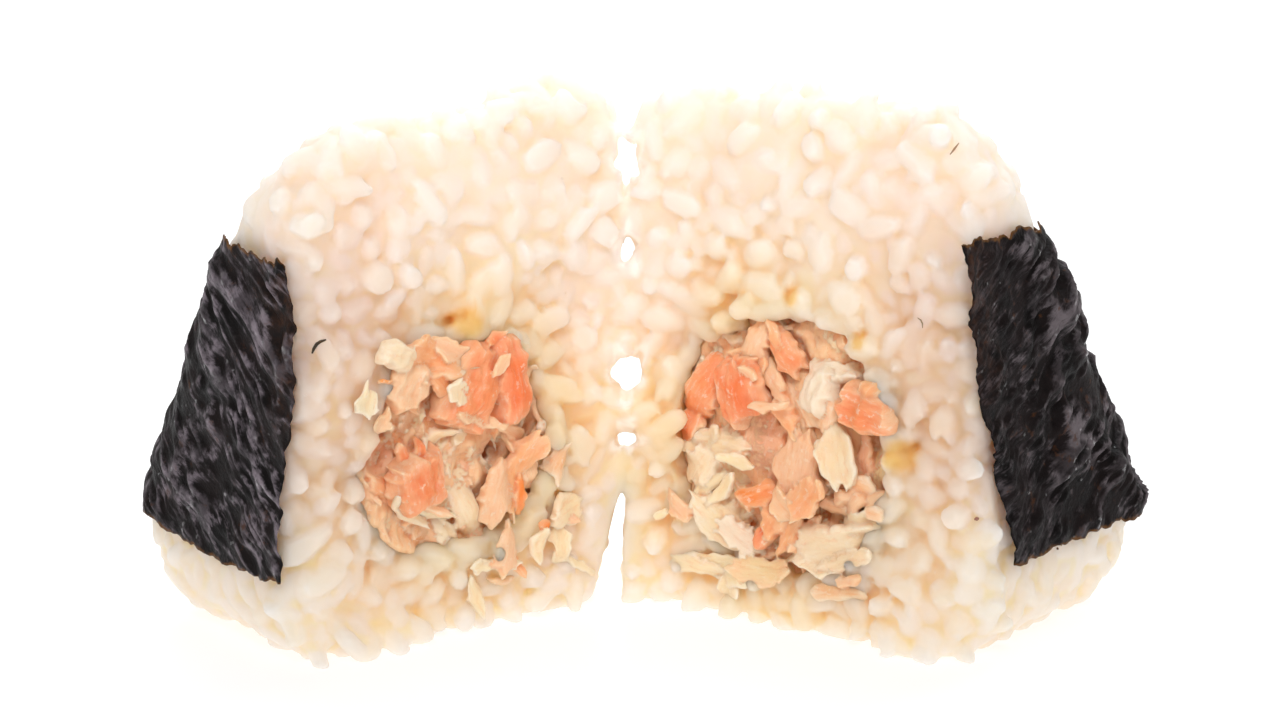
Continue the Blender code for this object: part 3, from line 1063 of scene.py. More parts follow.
def makeNori(name, side):
    facts, half = noriSheet[side], halves[side]
    deselect()
    bpy.ops.mesh.primitive_grid_add(
        x_subdivisions=noriSheet["columns"], y_subdivisions=noriSheet["rows"], size=1
    )
    sheet = current(name)
    flat = meshPoints(sheet.data)
    along, share = flat[:, 0] + 0.5, flat[:, 1] + 0.5
    seed = facts["seed"]
    topWay, footWay = along * facts["topLength"], along * facts["footLength"]
    top = alongLine(facts["top"], topWay) + raggedEdge(topWay, noriSheet["fray"], seed)
    foot = alongLine(facts["foot"], footWay) + raggedEdge(footWay, noriSheet["tear"], seed)
    z = foot + (top - foot) * share
    places, way = sheetPlaces(along, z, facts, half)
    # creases run slantwise over the sheet, deeper towards the outer edge
    turn = facts["grainTurn"]
    warp = noiseAt(way / (9 * mm), z / (9 * mm), seed) * 0.8 * mm
    run = way * math.cos(turn) + z * math.sin(turn) + warp
    cross = -way * math.sin(turn) + z * math.cos(turn) + warp * 0.8
    broad, fine = creased(run, cross, "broad", seed), creased(run, cross, "fine", seed)
    lumps = creased(way, z, "lumps", seed)
    ridge = 1 - np.abs(creased(run, cross, "fold", seed)) * 1.7
    deep = 1.0 if facts["calm"] == 0 else smoothStep(0.25 + (way - facts["calm"]) / (12 * mm))
    height = (0.75 * broad + 0.75 * ridge * (0.55 + 0.45 * broad)) * deep
    height = np.clip(height + 0.24 * fine + 0.6 * lumps, -0.9, 1.4) * facts["creases"]
    rim = np.minimum(share, 1 - share) * 37 * mm  # about how far from the upper or lower edge
    curl = 0.35 * mm * (1 - smoothStep(rim / (1.6 * mm)))
    height = height * (0.35 + 0.65 * smoothStep(rim / (2.5 * mm))) + curl * noiseAt(
        footWay / (2.5 * mm), share * 3, seed + 7
    )
    for _ in range(3):
        offset = mouldDistance(places, half) - noriSheet["lift"]
        places = places - mouldNormal(places, half) * offset[:, None]
    out = np.maximum(height + 0.25 * mm, 0.0)
    places = places + mouldNormal(places, half) * out[:, None]
    setPoints(sheet.data, toOpen(places, half))
    # where the painted sheen falls: along the crests, less where the sheet is calm
    lit = 0.5 * broad + 0.9 * (ridge - 0.45) + 0.35 * fine
    storeValue(sheet.data, "ridge", np.clip(0.42 + 0.5 * lit * deep, 0, 1))
    flow = sheet.data.attributes.new("flow", "FLOAT_VECTOR", "POINT")
    lines = np.stack([run / mm, cross / mm, np.full_like(run, seed)], 1)
    flow.data.foreach_set("vector", lines.astype(np.float32).ravel())
    storeValue(sheet.data, "rim", np.clip(1 - rim / (1.1 * mm), 0, 1))
    inner = np.clip(1 - way / (7 * mm), 0, 1) * np.clip((z - foot - 12 * mm) / (20 * mm), 0, 1)
    storeValue(sheet.data, "bald", inner)
    paper = sheet.modifiers.new("paper", "SOLIDIFY")
    paper.thickness = noriSheet["thickness"]
    paper.offset = 0.0
    applyModifiers(sheet)
    makeActive(sheet)
    bpy.ops.object.mode_set(mode="EDIT")
    bpy.ops.mesh.select_all(action="SELECT")
    bpy.ops.mesh.normals_make_consistent(inside=False)
    bpy.ops.object.mode_set(mode="OBJECT")
    sheet.data.shade_smooth()
    return sheet


def noriLooks(name, facts):
    looks = Looks(
        name,
        {
            "IOR": 1.5,
            "Specular IOR Level": facts["gloss"],
            "Coat Roughness": 0.16,
        },
    )
    ridge = looks.attribute("ridge")
    rim = looks.attribute("rim")
    bald = looks.attribute("bald")
    speckle = looks.noise(700, 4.0, 0.65)
    blotch = looks.noise(170, 3.0, 0.6)
    flow = looks.attribute("flow", "Vector")
    streak = looks.noise(1.0, 5.0, 0.68, looks.stretch(flow, facts["strokes"]))
    patches = looks.between(looks.noise(0.27, 3.0, 0.6, flow), 0.40, 0.60) * 0.72 + 0.28
    # painted sheen: the crests and brush strokes are painted pale lavender-grey, as the crinkled sheet
    # would catch the light
    lit = ridge * facts["crest"] + (streak - 0.5) * facts["brush"] + (speckle - 0.5) * 0.8
    high = looks.between(lit, *facts["sheenRange"]) * patches
    colour = looks.mix(looks.between(blotch, 0.35, 0.65), (0.004, 0.003, 0.003), (0.012, 0.008, 0.008))
    colour = looks.mix(high * 0.85, colour, facts["pale"])
    rust = looks.between(speckle + blotch * 0.6, 0.92, 1.08)
    colour = looks.mix(rust * 0.7, colour, (0.070, 0.026, 0.009))
    colour = looks.mix(bald * looks.between(speckle, 0.35, 0.7) * 0.8, colour, (0.055, 0.022, 0.011))
    frayed = looks.between(rim + (speckle - 0.5) * 1.4, 0.55, 1.0)
    colour = looks.mix(frayed * 0.8, colour, (0.16, 0.070, 0.020))
    looks.feed("Base Color", colour)
    looks.feed("Roughness", 0.34 + looks.between(blotch, 0.3, 0.7) * 0.2 + speckle * 0.10)
    glint = looks.between(looks.noise(900, 2.0, 0.5) + ridge * 0.25, 0.78, 0.84)
    looks.feed("Coat Weight", glint)
    pits = looks.node(
        "ShaderNodeTexVoronoi", {"feature": "F1"}, {"Vector": looks.place(), "Scale": 1900.0}
    )
    looks.bump(speckle * 1.0 + streak * 0.7 + pits * 0.35, 0.18 * mm, 0.9)
    return looks.material


for side in ("left", "right"):
    sheet = makeNori("nori" + side.capitalize(), side)
    sheet.data.materials.append(noriLooks("roastedNori" + side.capitalize(), noriSheet[side]))
    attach(sheet, "root")
    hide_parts("nori_" + side)
    print(sheet.name, len(sheet.data.polygons), "faces")


riceTree = BVHTree.FromObject(riceMass, bpy.context.evaluated_depsgraph_get())


def landing(place, away, half):
    # where something coming from outside lands on the rice
    start = toOpen([place + away * 8 * mm], half)[0]
    end = toOpen([place - away * 8 * mm], half)[0]
    heading = Vector(end - start).normalized()
    hit = riceTree.ray_cast(Vector(start), heading)
    if hit[0] is None:
        hit = riceTree.find_nearest(Vector(toOpen([place], half)[0]))
    return np.array(hit[0]), np.array(heading)


salmon = {
    "seed": 12,
    "cuts": {"chunk": 24, "flake": 16, "shred": 5},
    "cell": {"chunk": 0.2 * mm, "flake": 0.24 * mm},
    "softening": 1,
    "smallestLump": 0.4,
    "triangles": 196000,
    "scatter": 0.9 * mm,
    "toothWidth": 0.36 * mm,
    "toothDepth": 1.1 * mm,
    # kind, hue, (depth, across, up), (length, width, thickness) in mm, turn in degrees, chunk
    "left": (
        ("block", "coral", (-2.6, -1.1, 30.4), (10.5, 7.4, 5.0), 60, "LeftTop"),
        ("block", "deepCoral", (-3.0, 3.9, 30.7), (11.6, 4.5, 4.6), 100, "LeftTop"),
        ("sheet", "cream", (-4.6, -4.6, 30.7), (3.4, 2.6, 1.0), 78, "LeftTop"),
        ("strip", "pale", (-5.4, 1.0, 33.2), (2.8, 1.6, 0.7), 55, "LeftTop"),
        ("strip", "pale", (-3.6, -0.8, 26.5), (8.9, 1.1, 0.9), -21, "LeftTop"),
        ("strip", "coral", (-3.4, 1.4, 35.9), (2.4, 1.4, 1.2), 40, "LeftTop"),
        ("sheet", "peach", (-1.8, -6.1, 34.4), (9.0, 4.3, 2.2), -19, ""),
        ("leaf", "peach", (-2.6, -5.0, 31.0), (6.4, 2.2, 1.4), -51, ""),
        ("sheet", "pale", (-2.8, -4.0, 35.0), (5.0, 2.5, 1.0), -33, ""),
        ("block", "cream", (-1.2, -12.3, 36.0), (5.1, 3.1, 2.6), -21, ""),
        ("block", "pale", (-1.6, -10.3, 31.9), (5.2, 5.5, 3.0), 66, ""),
        ("strip", "peach", (-2.0, -8.9, 30.0), (3.3, 1.4, 1.0), -68, ""),
        ("crumb", "orange", (-0.6, -13.4, 33.0), (1.9, 0.7, 1.0), -9, ""),
        ("leaf", "cream", (-1.0, -5.5, 24.9), (5.6, 1.4, 0.9), 26, ""),
        ("sheet", "beige", (0.4, -6.4, 26.6), (6.6, 3.0, 0.8), -16, ""),
        ("strip", "beige", (-0.8, -2.7, 23.9), (4.2, 1.3, 0.9), 50, ""),
        ("strip", "cream", (-1.2, -1.5, 24.8), (3.8, 1.3, 0.8), 38, ""),
        ("strip", "beige", (-0.2, -1.4, 21.6), (5.3, 1.6, 1.0), -4, ""),
        ("strip", "mauve", (0.4, 1.0, 19.4), (5.1, 1.4, 1.0), -34, ""),
        ("block", "coral", (-2.6, -8.6, 20.7), (7.2, 7.1, 4.6), 102, "LeftLow"),
        ("leaf", "coral", (-2.4, -10.4, 23.9), (3.4, 1.4, 1.2), 112, "LeftLow"),
        ("leaf", "coral", (-2.8, -8.2, 24.1), (2.8, 1.4, 1.2), 83, "LeftLow"),
        ("strip", "pale", (-2.4, -7.4, 17.2), (7.6, 1.4, 1.0), -24, "LeftLow"),
        ("strip", "cream", (-1.4, -5.0, 15.7), (5.8, 1.4, 0.8), -18, "LeftLow"),
        ("sheet", "pale", (-2.6, 2.8, 17.3), (7.7, 3.6, 1.8), 76, "LeftSide"),
        ("sheet", "peach", (-1.8, 5.7, 18.9), (9.8, 3.3, 2.0), 73, "LeftSide"),
        ("sheet", "pale", (-2.2, 6.7, 19.7), (8.2, 2.4, 1.2), 110, "LeftSide"),
        ("strip", "orange", (-2.8, 5.7, 16.3), (5.5, 1.3, 1.4), 86, "LeftSide"),
        ("strip", "pale", (-1.6, 5.5, 23.8), (5.1, 1.6, 1.0), -26, "LeftSide"),
        ("sheet", "mauve", (1.6, -10.1, 25.8), (7.2, 2.8, 1.2), 83, ""),
        ("sheet", "mauve", (1.2, -11.9, 23.4), (4.5, 3.2, 1.2), 53, ""),
        ("leaf", "cream", (-1.8, -0.8, 15.2), (9.4, 3.2, 1.5), -66, ""),
        ("leaf", "cream", (-1.2, -9.2, 16.7), (8.1, 1.7, 1.3), -41, ""),
        ("leaf", "cream", (-0.6, -2.6, 11.4), (7.3, 2.7, 1.2), -58, ""),
        ("sheet", "pale", (0.0, -4.6, 12.7), (5.2, 1.8, 0.9), -51, ""),
        ("sheet", "peach", (-0.4, -11.6, 19.3), (5.2, 2.5, 1.4), -42, ""),
        ("leaf", "beige", (0.4, 10.2, 26.5), (10.0, 2.8, 0.7), 94, ""),
        ("sheet", "beige", (0.6, 10.6, 19.3), (4.4, 2.6, 0.7), 65, ""),
        ("block", "white", (-2.2, 9.9, 23.5), (2.2, 1.5, 1.2), 52, ""),
        ("crumb", "orange", (-1.2, 7.6, 12.6), (2.1, 1.3, 1.3), 6, ""),
        ("sheet", "cream", (-1.4, 11.6, 13.3), (5.7, 4.0, 1.4), 10, ""),
        ("leaf", "pale", (-2.2, 11.6, 12.8), (3.7, 1.3, 1.0), -27, ""),
        ("sheet", "cream", (-1.0, 11.4, 9.0), (6.0, 2.2, 1.0), -79, ""),
        ("leaf", "cream", (-1.6, 6.9, 10.5), (4.0, 2.1, 1.2), 68, ""),
        ("sheet", "pale", (-0.4, 2.9, 10.5), (5.9, 3.0, 1.0), 78, ""),
        ("strip", "peach", (-0.4, 4.8, 8.3), (4.8, 1.3, 0.9), -59, ""),
        ("sheet", "cream", (-0.8, 1.3, 8.6), (6.7, 2.0, 1.0), -3, ""),
        ("leaf", "cream", (-1.0, 0.1, 5.0), (5.8, 1.6, 1.0), -74, ""),
        ("strip", "pale", (-0.8, 4.5, 5.7), (5.6, 1.1, 0.8), 0, ""),
        ("leaf", "cream", (-0.8, 14.1, 6.0), (6.9, 1.2, 0.8), -35, ""),
        ("leaf", "pale", (-0.4, -13.2, 19.1), (3.6, 0.9, 0.8), -55, ""),
        ("crumb", "orange", (1.2, 5.4, 20.6), (6.0, 1.5, 1.4), 83, ""),
        ("sheet", "cream", (0.6, -16.4, 31.4), (4.0, 2.2, 0.8), 76, ""),
        ("sheet", "pale", (0.2, -13.7, 28.5), (3.4, 2.0, 0.8), 66, ""),
    ),
    "right": (
        ("block", "deepCoral", (-2.6, 6.1, 28.8), (7.6, 6.1, 4.6), 83, "RightDeep"),
        ("strip", "coral", (-2.8, 6.2, 32.0), (5.6, 1.3, 1.6), 165, "RightDeep"),
        ("strip", "pale", (-4.4, 3.9, 31.4), (2.6, 1.1, 0.8), -149, "RightDeep"),
        ("sheet", "coral", (-1.6, 12.4, 26.9), (12.6, 4.5, 2.6), 121, "RightDeep"),
        ("sheet", "coral", (-1.2, 14.0, 22.8), (5.1, 2.6, 2.0), 111, "RightDeep"),
        ("sheet", "pale", (-2.2, 4.0, 35.1), (7.9, 3.0, 2.0), 116, "RightTop"),
        ("sheet", "coral", (-2.8, 0.4, 34.1), (6.8, 3.1, 2.2), -122, "RightTop"),
        ("strip", "peach", (-3.4, 0.9, 35.5), (5.0, 1.3, 1.2), -113, "RightTop"),
        ("sheet", "peach", (-1.8, 4.8, 32.2), (4.6, 2.8, 1.6), -170, "RightTop"),
        ("block", "coral", (-2.8, -10.9, 29.0), (7.0, 5.6, 4.4), -166, "RightSide"),
        ("sheet", "peach", (-3.4, -11.6, 31.3), (4.3, 2.3, 2.0), 126, "RightSide"),
        ("strip", "pale", (-5.2, 1.3, 28.0), (5.5, 1.3, 1.4), 167, ""),
        ("sheet", "peach", (-2.4, 0.2, 25.8), (4.5, 1.8, 1.6), -127, ""),
        ("sheet", "pale", (-2.0, 2.2, 30.5), (5.5, 2.5, 1.2), -127, ""),
        ("sheet", "beige", (-0.6, 1.1, 28.0), (8.9, 3.7, 1.2), -115, ""),
        ("crumb", "orange", (0.2, 1.1, 23.2), (2.8, 1.4, 1.2), -137, ""),
        ("sheet", "mauve", (-0.8, 5.0, 20.9), (10.9, 4.7, 1.2), 113, ""),
        ("sheet", "mauve", (-0.6, 7.8, 21.8), (5.6, 2.6, 1.0), 102, ""),
        ("sheet", "pale", (-2.8, -1.4, 19.3), (10.6, 5.9, 2.4), 98, "RightPale"),
        ("sheet", "peach", (-4.2, -3.6, 17.8), (5.9, 3.7, 1.6), 120, "RightPale"),
        ("sheet", "pale", (-3.6, -0.1, 16.2), (4.1, 3.4, 1.4), -137, "RightPale"),
        ("leaf", "cream", (-2.2, -6.4, 22.7), (8.2, 4.4, 1.8), -107, ""),
        ("sheet", "cream", (-1.6, -2.8, 22.4), (5.6, 2.0, 1.2), 145, ""),
        ("leaf", "cream", (-1.2, 12.2, 21.6), (7.3, 2.1, 1.1), 147, ""),
        ("sheet", "cream", (-1.8, 12.4, 18.2), (5.5, 3.9, 1.6), 120, ""),
        ("sheet", "cream", (-1.4, 10.0, 20.8), (7.1, 3.7, 1.2), 176, ""),
        ("leaf", "gold", (-2.6, 7.1, 19.8), (4.9, 1.7, 1.0), -173, ""),
        ("leaf", "gold", (-2.4, 8.6, 16.3), (6.5, 2.0, 1.2), 131, ""),
        ("leaf", "cream", (-2.0, 11.1, 16.3), (5.5, 1.9, 1.0), 141, ""),
        ("sheet", "cream", (-0.6, 9.1, 16.9), (7.2, 4.1, 1.0), 120, ""),
        ("comb", "cream", (-1.8, 9.9, 11.9), (8.1, 4.6, 1.6), -135, ""),
        ("comb", "white", (-2.2, 7.5, 10.6), (5.9, 3.6, 1.2), -149, ""),
        ("comb", "pale", (-1.0, 5.9, 8.8), (6.0, 2.5, 1.0), 178, ""),
        ("block", "orange", (-3.4, 4.1, 16.3), (5.1, 3.1, 2.0), 156, ""),
        ("block", "peach", (-3.0, 1.9, 13.5), (4.4, 2.8, 2.4), 120, ""),
        ("crumb", "deepCoral", (-2.4, 3.6, 11.4), (3.3, 2.1, 2.2), 120, ""),
        ("strip", "peach", (-2.8, 0.1, 12.1), (6.3, 1.5, 1.6), 122, ""),
        ("strip", "pale", (-2.0, -1.4, 12.5), (6.9, 1.3, 1.2), 127, ""),
        ("leaf", "cream", (-1.4, -1.0, 10.3), (6.2, 1.2, 1.0), 136, ""),
        ("sheet", "cream", (-2.2, -6.6, 12.4), (12.0, 5.4, 2.2), 159, ""),
        ("sheet", "cream", (-2.6, -9.9, 15.5), (7.2, 2.6, 1.2), 175, ""),
        ("leaf", "cream", (-2.6, -8.4, 10.9), (9.1, 2.2, 1.2), 154, ""),
        ("sheet", "olive", (-0.2, 3.4, 7.0), (8.4, 3.4, 0.9), 174, ""),
        ("leaf", "gold", (-1.6, 10.9, 6.9), (7.2, 1.8, 1.0), 178, ""),
        ("sheet", "gold", (-1.2, 8.2, 4.4), (4.9, 2.5, 1.2), 111, ""),
        ("sheet", "gold", (0.0, 6.4, 5.8), (5.6, 2.2, 0.8), 164, ""),
        ("crumb", "pale", (-2.0, -7.0, 18.4), (3.6, 1.8, 1.6), 153, ""),
        ("crumb", "beige", (-1.8, -9.3, 19.6), (2.7, 2.2, 1.6), -149, ""),
        ("crumb", "pale", (-1.8, -11.4, 18.2), (4.2, 1.9, 1.8), 141, ""),
        ("crumb", "beige", (-1.2, -12.3, 17.3), (2.4, 1.8, 1.4), -171, ""),
        ("crumb", "beige", (-1.4, -5.3, 16.3), (3.8, 1.9, 1.4), -176, ""),
        ("crumb", "pale", (-2.2, -8.4, 17.4), (3.3, 1.5, 1.4), 129, ""),
        ("crumb", "beige", (-1.2, -4.5, 18.8), (3.0, 1.4, 1.4), 120, ""),
        ("sheet", "olive", (-0.4, -11.0, 22.2), (7.6, 3.2, 1.0), 100, ""),
        ("strip", "mauve", (-0.8, -9.0, 22.6), (6.9, 1.6, 1.0), 98, ""),
        ("block", "white", (-1.8, -3.8, 30.2), (6.2, 4.1, 3.0), 102, ""),
        ("block", "pale", (-1.4, -2.2, 27.0), (3.8, 2.8, 2.2), -124, ""),
        ("block", "pale", (-1.6, -5.1, 27.5), (5.2, 2.4, 2.2), 112, ""),
        ("sheet", "white", (-1.0, -6.6, 32.0), (3.7, 2.5, 1.6), -170, ""),
        ("crumb", "orange", (-0.6, 12.9, 13.9), (3.2, 1.4, 1.4), -161, ""),
        ("crumb", "gold", (-0.6, 16.4, 11.9), (2.6, 1.1, 1.2), 137, ""),
        ("sheet", "pale", (-0.2, 13.9, 13.3), (4.8, 2.6, 1.0), -144, ""),
        ("sheet", "gold", (-0.6, 13.0, 6.0), (7.7, 2.7, 1.0), -172, ""),
        ("sheet", "beige", (0.2, -5.7, 6.5), (7.7, 2.0, 0.8), 174, ""),
        ("block", "pale", (-0.8, -7.6, 8.3), (3.6, 1.6, 1.4), 152, ""),
    ),
    "hues": {
        "coral": (0.97, 0.31, 0.12),
        "deepCoral": (0.96, 0.23, 0.07),
        "orange": (0.93, 0.28, 0.05),
        "peach": (0.97, 0.46, 0.22),
        "pale": (0.97, 0.60, 0.37),
        "cream": (0.96, 0.74, 0.48),
        "beige": (0.91, 0.54, 0.29),
        "mauve": (0.88, 0.48, 0.29),
        "gold": (0.96, 0.75, 0.47),
        "olive": (0.92, 0.70, 0.40),
        "white": (0.97, 0.79, 0.61),
    },
    # roundness, lumps, fibres, fray, thinning, taper power, bend
    "kinds": {
        "block": (0.50, 0.75, 0.18, 1.0, 0.10, 0.0, 0.05),
        "sheet": (0.30, 0.60, 0.13, 1.3, 0.50, 4.0, 0.17),
        "leaf": (0.35, 0.40, 0.13, 0.7, 0.50, 1.7, 0.17),
        "strip": (0.45, 0.40, 0.10, 0.9, 0.30, 3.5, 0.18),
        "comb": (0.30, 0.30, 0.22, 1.3, 0.50, 2.8, 0.14),
        "crumb": (0.75, 0.65, 0.08, 0.6, 0.0, 0.0, 0.0),
    },
}


def modelBlank(cuts):
    # a finely divided block that every flake is drawn out of
    deselect()
    bpy.ops.mesh.primitive_cube_add(size=2)
    obj = current("blank")
    bpy.ops.object.mode_set(mode="EDIT")
    bpy.ops.mesh.select_all(action="SELECT")
    bpy.ops.mesh.subdivide(number_cuts=cuts)
    bpy.ops.object.mode_set(mode="OBJECT")
    made = {"points": meshPoints(obj.data), "faces": meshFaces(obj.data)}
    bpy.data.objects.remove(obj)
    return made


blanks = {name: modelBlank(cuts) for name, cuts in salmon["cuts"].items()}


def rounded(p, share):
    # from a cube towards a ball
    q = p**2
    globe = p * np.sqrt(
        1
        - (q[:, [1, 2, 0]] + q[:, [2, 0, 1]]) / 2
        + q[:, [1, 2, 0]] * q[:, [2, 0, 1]] / 3
    )
    return p * (1 - share) + globe * share


def drawFlake(blank, kind, size, seed, random):
    # shapes one flake about its middle, in metres: length along X, front towards Z
    roundness, lumps, fibres, fray, thin, taper, bend = salmon["kinds"][kind]
    longHalf, wide, thick = np.array(size) * mm / 2
    p = rounded(blank["points"], roundness)
    a, b, c = p.T
    width = np.ones_like(a)
    if taper:
        width = np.maximum(1 - np.abs(a) ** taper, 0.0) ** 0.6 * 0.86 + 0.14
    sides = np.sign(b) * 7.7 + seed
    wander = noiseAt(a * longHalf / (2.6 * mm), sides, seed)
    jag = noiseAt(a * longHalf / (0.9 * mm), sides, seed + 3)
    x = a * longHalf
    y = b * wide * width * (1 + 0.22 * wander * np.abs(b)) + jag * np.abs(b) ** 4 * fray * 0.4 * mm
    ends = np.sign(a) * 5.1 + seed
    torn = noiseAt(b * wide / (1.1 * mm), ends, seed + 5)
    x = x + torn * np.abs(a) ** 5 * fray * 1.1 * mm
    x = x + noiseAt(b * wide / (3 * mm), ends, seed + 6) * np.abs(a) ** 3 * longHalf * 0.16
    if kind == "comb":
        teeth = np.abs(np.sin(x / salmon["toothWidth"] + 1.5 * noiseAt(x / (3 * mm), sides, seed)))
        y = y + np.clip(b, 0, 1) ** 2 * (teeth - 0.5) * salmon["toothDepth"]
    z = c * thick * (1 - thin * np.clip(b**2 * 0.7 + a**4 * 0.5, 0, 1))
    along = x / (5.5 * mm)
    stripe = noiseAt(y / (0.55 * mm) + 0.4 * noiseAt(along, y / (2 * mm), seed), along, seed + 8)
    z = z + np.where(c > 0, 1, -0.3) * (0.5 - np.abs(stripe)) * fibres * 1.6 * mm
    curves = random.normal(0, bend, 3)
    z = z + curves[0] * (x**2) / max(longHalf, 1e-6) * 2 + curves[1] * (y**2) / max(wide, 1e-6) * 2
    z = z + curves[2] * x * y / max(longHalf, wide) * 2
    places = np.stack([x, y, z], 1)
    for scale, share, start in ((2.4, 1.0, 0), (0.95, 0.4, 50)):
        u, v, w = places.T / (scale * mm)
        moved = [
            noiseAt(u + k, v, seed + start + k) + noiseAt(w + k, u, seed + 20 + k) * 0.6
            for k in (3.1, 11.7, 29.3)
        ]
        reach = lumps * share * min(1.0, thick / (1.2 * mm) + 0.25)
        places = places + np.stack(moved, 1) * np.array([0.8, 0.8, 1.0]) * reach * 0.5 * mm
    edge = np.clip(np.maximum(np.abs(a) ** 3.0, np.abs(b) ** 3.0), 0, 1)
    return places, edge, stripe


def flakeTints(hue, edge, stripe, places, seed, random):
    # paler at the edges and in blotches
    base = np.array(salmon["hues"][hue]) * (1 + random.normal(0, 0.025))
    pale = np.array(salmon["hues"]["white" if hue in ("cream", "gold", "white", "beige") else "pale"])
    blotch = noiseAt(places[:, 0] / (2.2 * mm) + seed, places[:, 1] / (2.2 * mm), seed + 41)
    share = 0.75 * edge + 0.30 * np.clip(blotch, 0, 1) + 0.14 * np.clip(0.5 - np.abs(stripe), 0, 1)
    share = np.clip(share, 0, 1)
    deeper = np.clip(-blotch, 0, 1) * 0.2
    tint = base[None] * (1 - share[:, None]) + pale[None] * share[:, None]
    shade = base * np.array([0.97, 0.82, 0.70])
    return tint * (1 - deeper[:, None]) + shade[None] * deeper[:, None]


def flakeTurn(angle, random, wobble):
    # columns: the flake's length, width and front in the closed half's frame
    turn = math.radians(angle)
    length = np.array([0.0, math.cos(turn), math.sin(turn)])
    front = np.array([-1.0, 0.0, 0.0])
    wide = np.cross(front, length)
    base = np.stack([length, wide, front], 1)
    tip = Euler((random.normal(0, wobble), random.normal(0, wobble * 0.7), 0)).to_matrix()
    return base @ np.array(tip)


def markFish(obj, tints, fibres):
    # each point's own colour, and its place along the muscle
    tint = obj.data.attributes.new("tint", "FLOAT_COLOR", "POINT")
    full = np.c_[np.clip(tints, 0, 1), np.ones(len(tints))]
    tint.data.foreach_set("color", full.astype(np.float32).ravel())
    local = obj.data.attributes.new("fibre", "FLOAT_VECTOR", "POINT")
    local.data.foreach_set("vector", np.asarray(fibres, np.float32).ravel())


def restingDepth(place, length, angle, half):
    # how far out a flake lies that rests on the rice
    turn = math.radians(angle)
    along = np.array([0, math.cos(turn), math.sin(turn)]) * length * 0.3
    depths = []
    for step in (-1, 0, 1):
        spot, _ = landing((np.array(place) * (0, 1, 1) + along * step) * mm, np.array((-1.0, 0, 0)), half)
        depths.append(toClosed([spot], half)[0, 0] / mm)
    return sorted(depths)[0] * 0.5 + sorted(depths)[1] * 0.5


def buildFlakes(name, rows, side, blankName, seed, wobble=0.22):
    # one mesh of all the flakes in the rows
    half = halves[side]
    random = np.random.default_rng(seed)
    blank = blanks[blankName]
    points, tints, fibre, faces, count = [], [], [], {3: [], 4: []}, 0
    for number, (kind, hue, place, size, angle, _) in enumerate(rows):
        own = seed * 3.7 + number * 13.1
        places, edge, stripe = drawFlake(blank, kind, size, own, random)
        tints.append(flakeTints(hue, edge, stripe, places, own, random))
        fibre.append(places / mm + np.array([own, 0, 0]))
        lifted = np.array(place, float)
        outside = fillingShareOf(lifted[None] * mm, half, (1, 2))[0] > 0.97
        if outside and blankName == "flake":
            raised = (0.4 if size[0] < 8 else 0.05) * size[2]  # the long ones lie flat
            lifted[0] = restingDepth(place, size[0], angle, half) - raised
        turned = places @ flakeTurn(angle, random, wobble).T + lifted * mm
        points.append(toOpen(turned, half))
        for n in faces:
            corners = blank["faces"][n]
            faces[n].append((corners[:, ::-1] if half["side"] < 0 else corners) + count)
        count += len(places)
    obj = meshObject(name, np.concatenate(points), {n: np.concatenate(f) for n, f in faces.items()})
    markFish(obj, np.concatenate(tints), np.concatenate(fibre))
    print(name, len(rows), "flakes,", len(obj.data.polygons), "faces")
    return obj


def fishLooks(name, scatter):
    looks = Looks(
        name,
        {
            "Subsurface Weight": 0.85,
            "Subsurface Radius": (0.95, 0.95, 1.0),
            "Subsurface Scale": scatter,
            "IOR": 1.40,
            "Specular IOR Level": 0.45,
            "Coat Roughness": 0.22,
        },
    )
    tint = looks.attribute("tint", "Color")
    fibre = looks.attribute("fibre", "Vector")
    stria = looks.noise(1.0, 4.0, 0.6, looks.stretch(fibre, (0.35, 2.4, 1.2)))
    grainy = looks.noise(2.6, 3.0, 0.6, fibre)
    flecks = looks.noise(1.1, 2.0, 0.5, fibre)
    light = looks.between(stria, 0.52, 0.72)
    dark = looks.between(stria, 0.48, 0.30)
    colour = looks.mix(light * 0.38, tint, (0.97, 0.82, 0.66))
    colour = looks.mix(dark * 0.35, colour, looks.mix(1.0, colour, (0.93, 0.66, 0.48), "MULTIPLY"))
    colour = looks.mix(looks.between(flecks, 0.63, 0.72) * 0.45, colour, (0.97, 0.80, 0.66))
    # painted shade: the creases between the flakes are darker and more orange
    shadedCrease = looks.between(looks.attribute("shadedCrease"), 0.0, 0.25 * mm)
    colour = looks.mix(shadedCrease * 0.55, colour, looks.mix(1.0, colour, (0.95, 0.66, 0.42), "MULTIPLY"))
    looks.feed("Base Color", colour)
    looks.feed("Roughness", 0.34 + grainy * 0.28)
    looks.feed("Coat Weight", looks.between(grainy, 0.5, 0.75) * 0.22)
    looks.bump(stria * 0.9 + grainy * 0.45, 0.17 * mm, 0.85)
    return looks.material


fishMaterial = fishLooks("flakedSalmon", salmon["scatter"])


def dressFish(piece, replaced):
    piece.data.materials.append(fishMaterial)
    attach(piece, "root")
    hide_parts(replaced)


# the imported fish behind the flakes
bed = {
    "margin": 1.5 * mm,
    "front": 1.9 * mm,
    "rimRise": 1.2 * mm,
    "colour": (0.95, 0.60, 0.35),
    # hollows, with painted shade in them: place across and up, and radius in mm
    "pockets": {
        "left": ((-12.2, 25.0, 2.4), (3.4, 21.4, 1.4)),
        "right": ((-11.6, 24.0, 1.6), (3.0, 24.6, 1.2)),
    },
}


def pocketShares(v, w, side):
    # 0 at the middle of the nearest hollow, 1 at its rim
    return np.minimum.reduce([np.hypot(v - a, w - b) / radius for a, b, radius in bed["pockets"][side]])


scraps = {
    "kinds": {"leaf": 0.28, "strip": 0.46, "sheet": 0.14, "crumb": 0.12},
    "hues": {"beige": 0.22, "pale": 0.26, "cream": 0.24, "peach": 0.12, "mauve": 0.08, "gold": 0.08},
    "sizes": ((2.6, 6.0), (0.6, 1.6), (0.5, 1.0)),
}


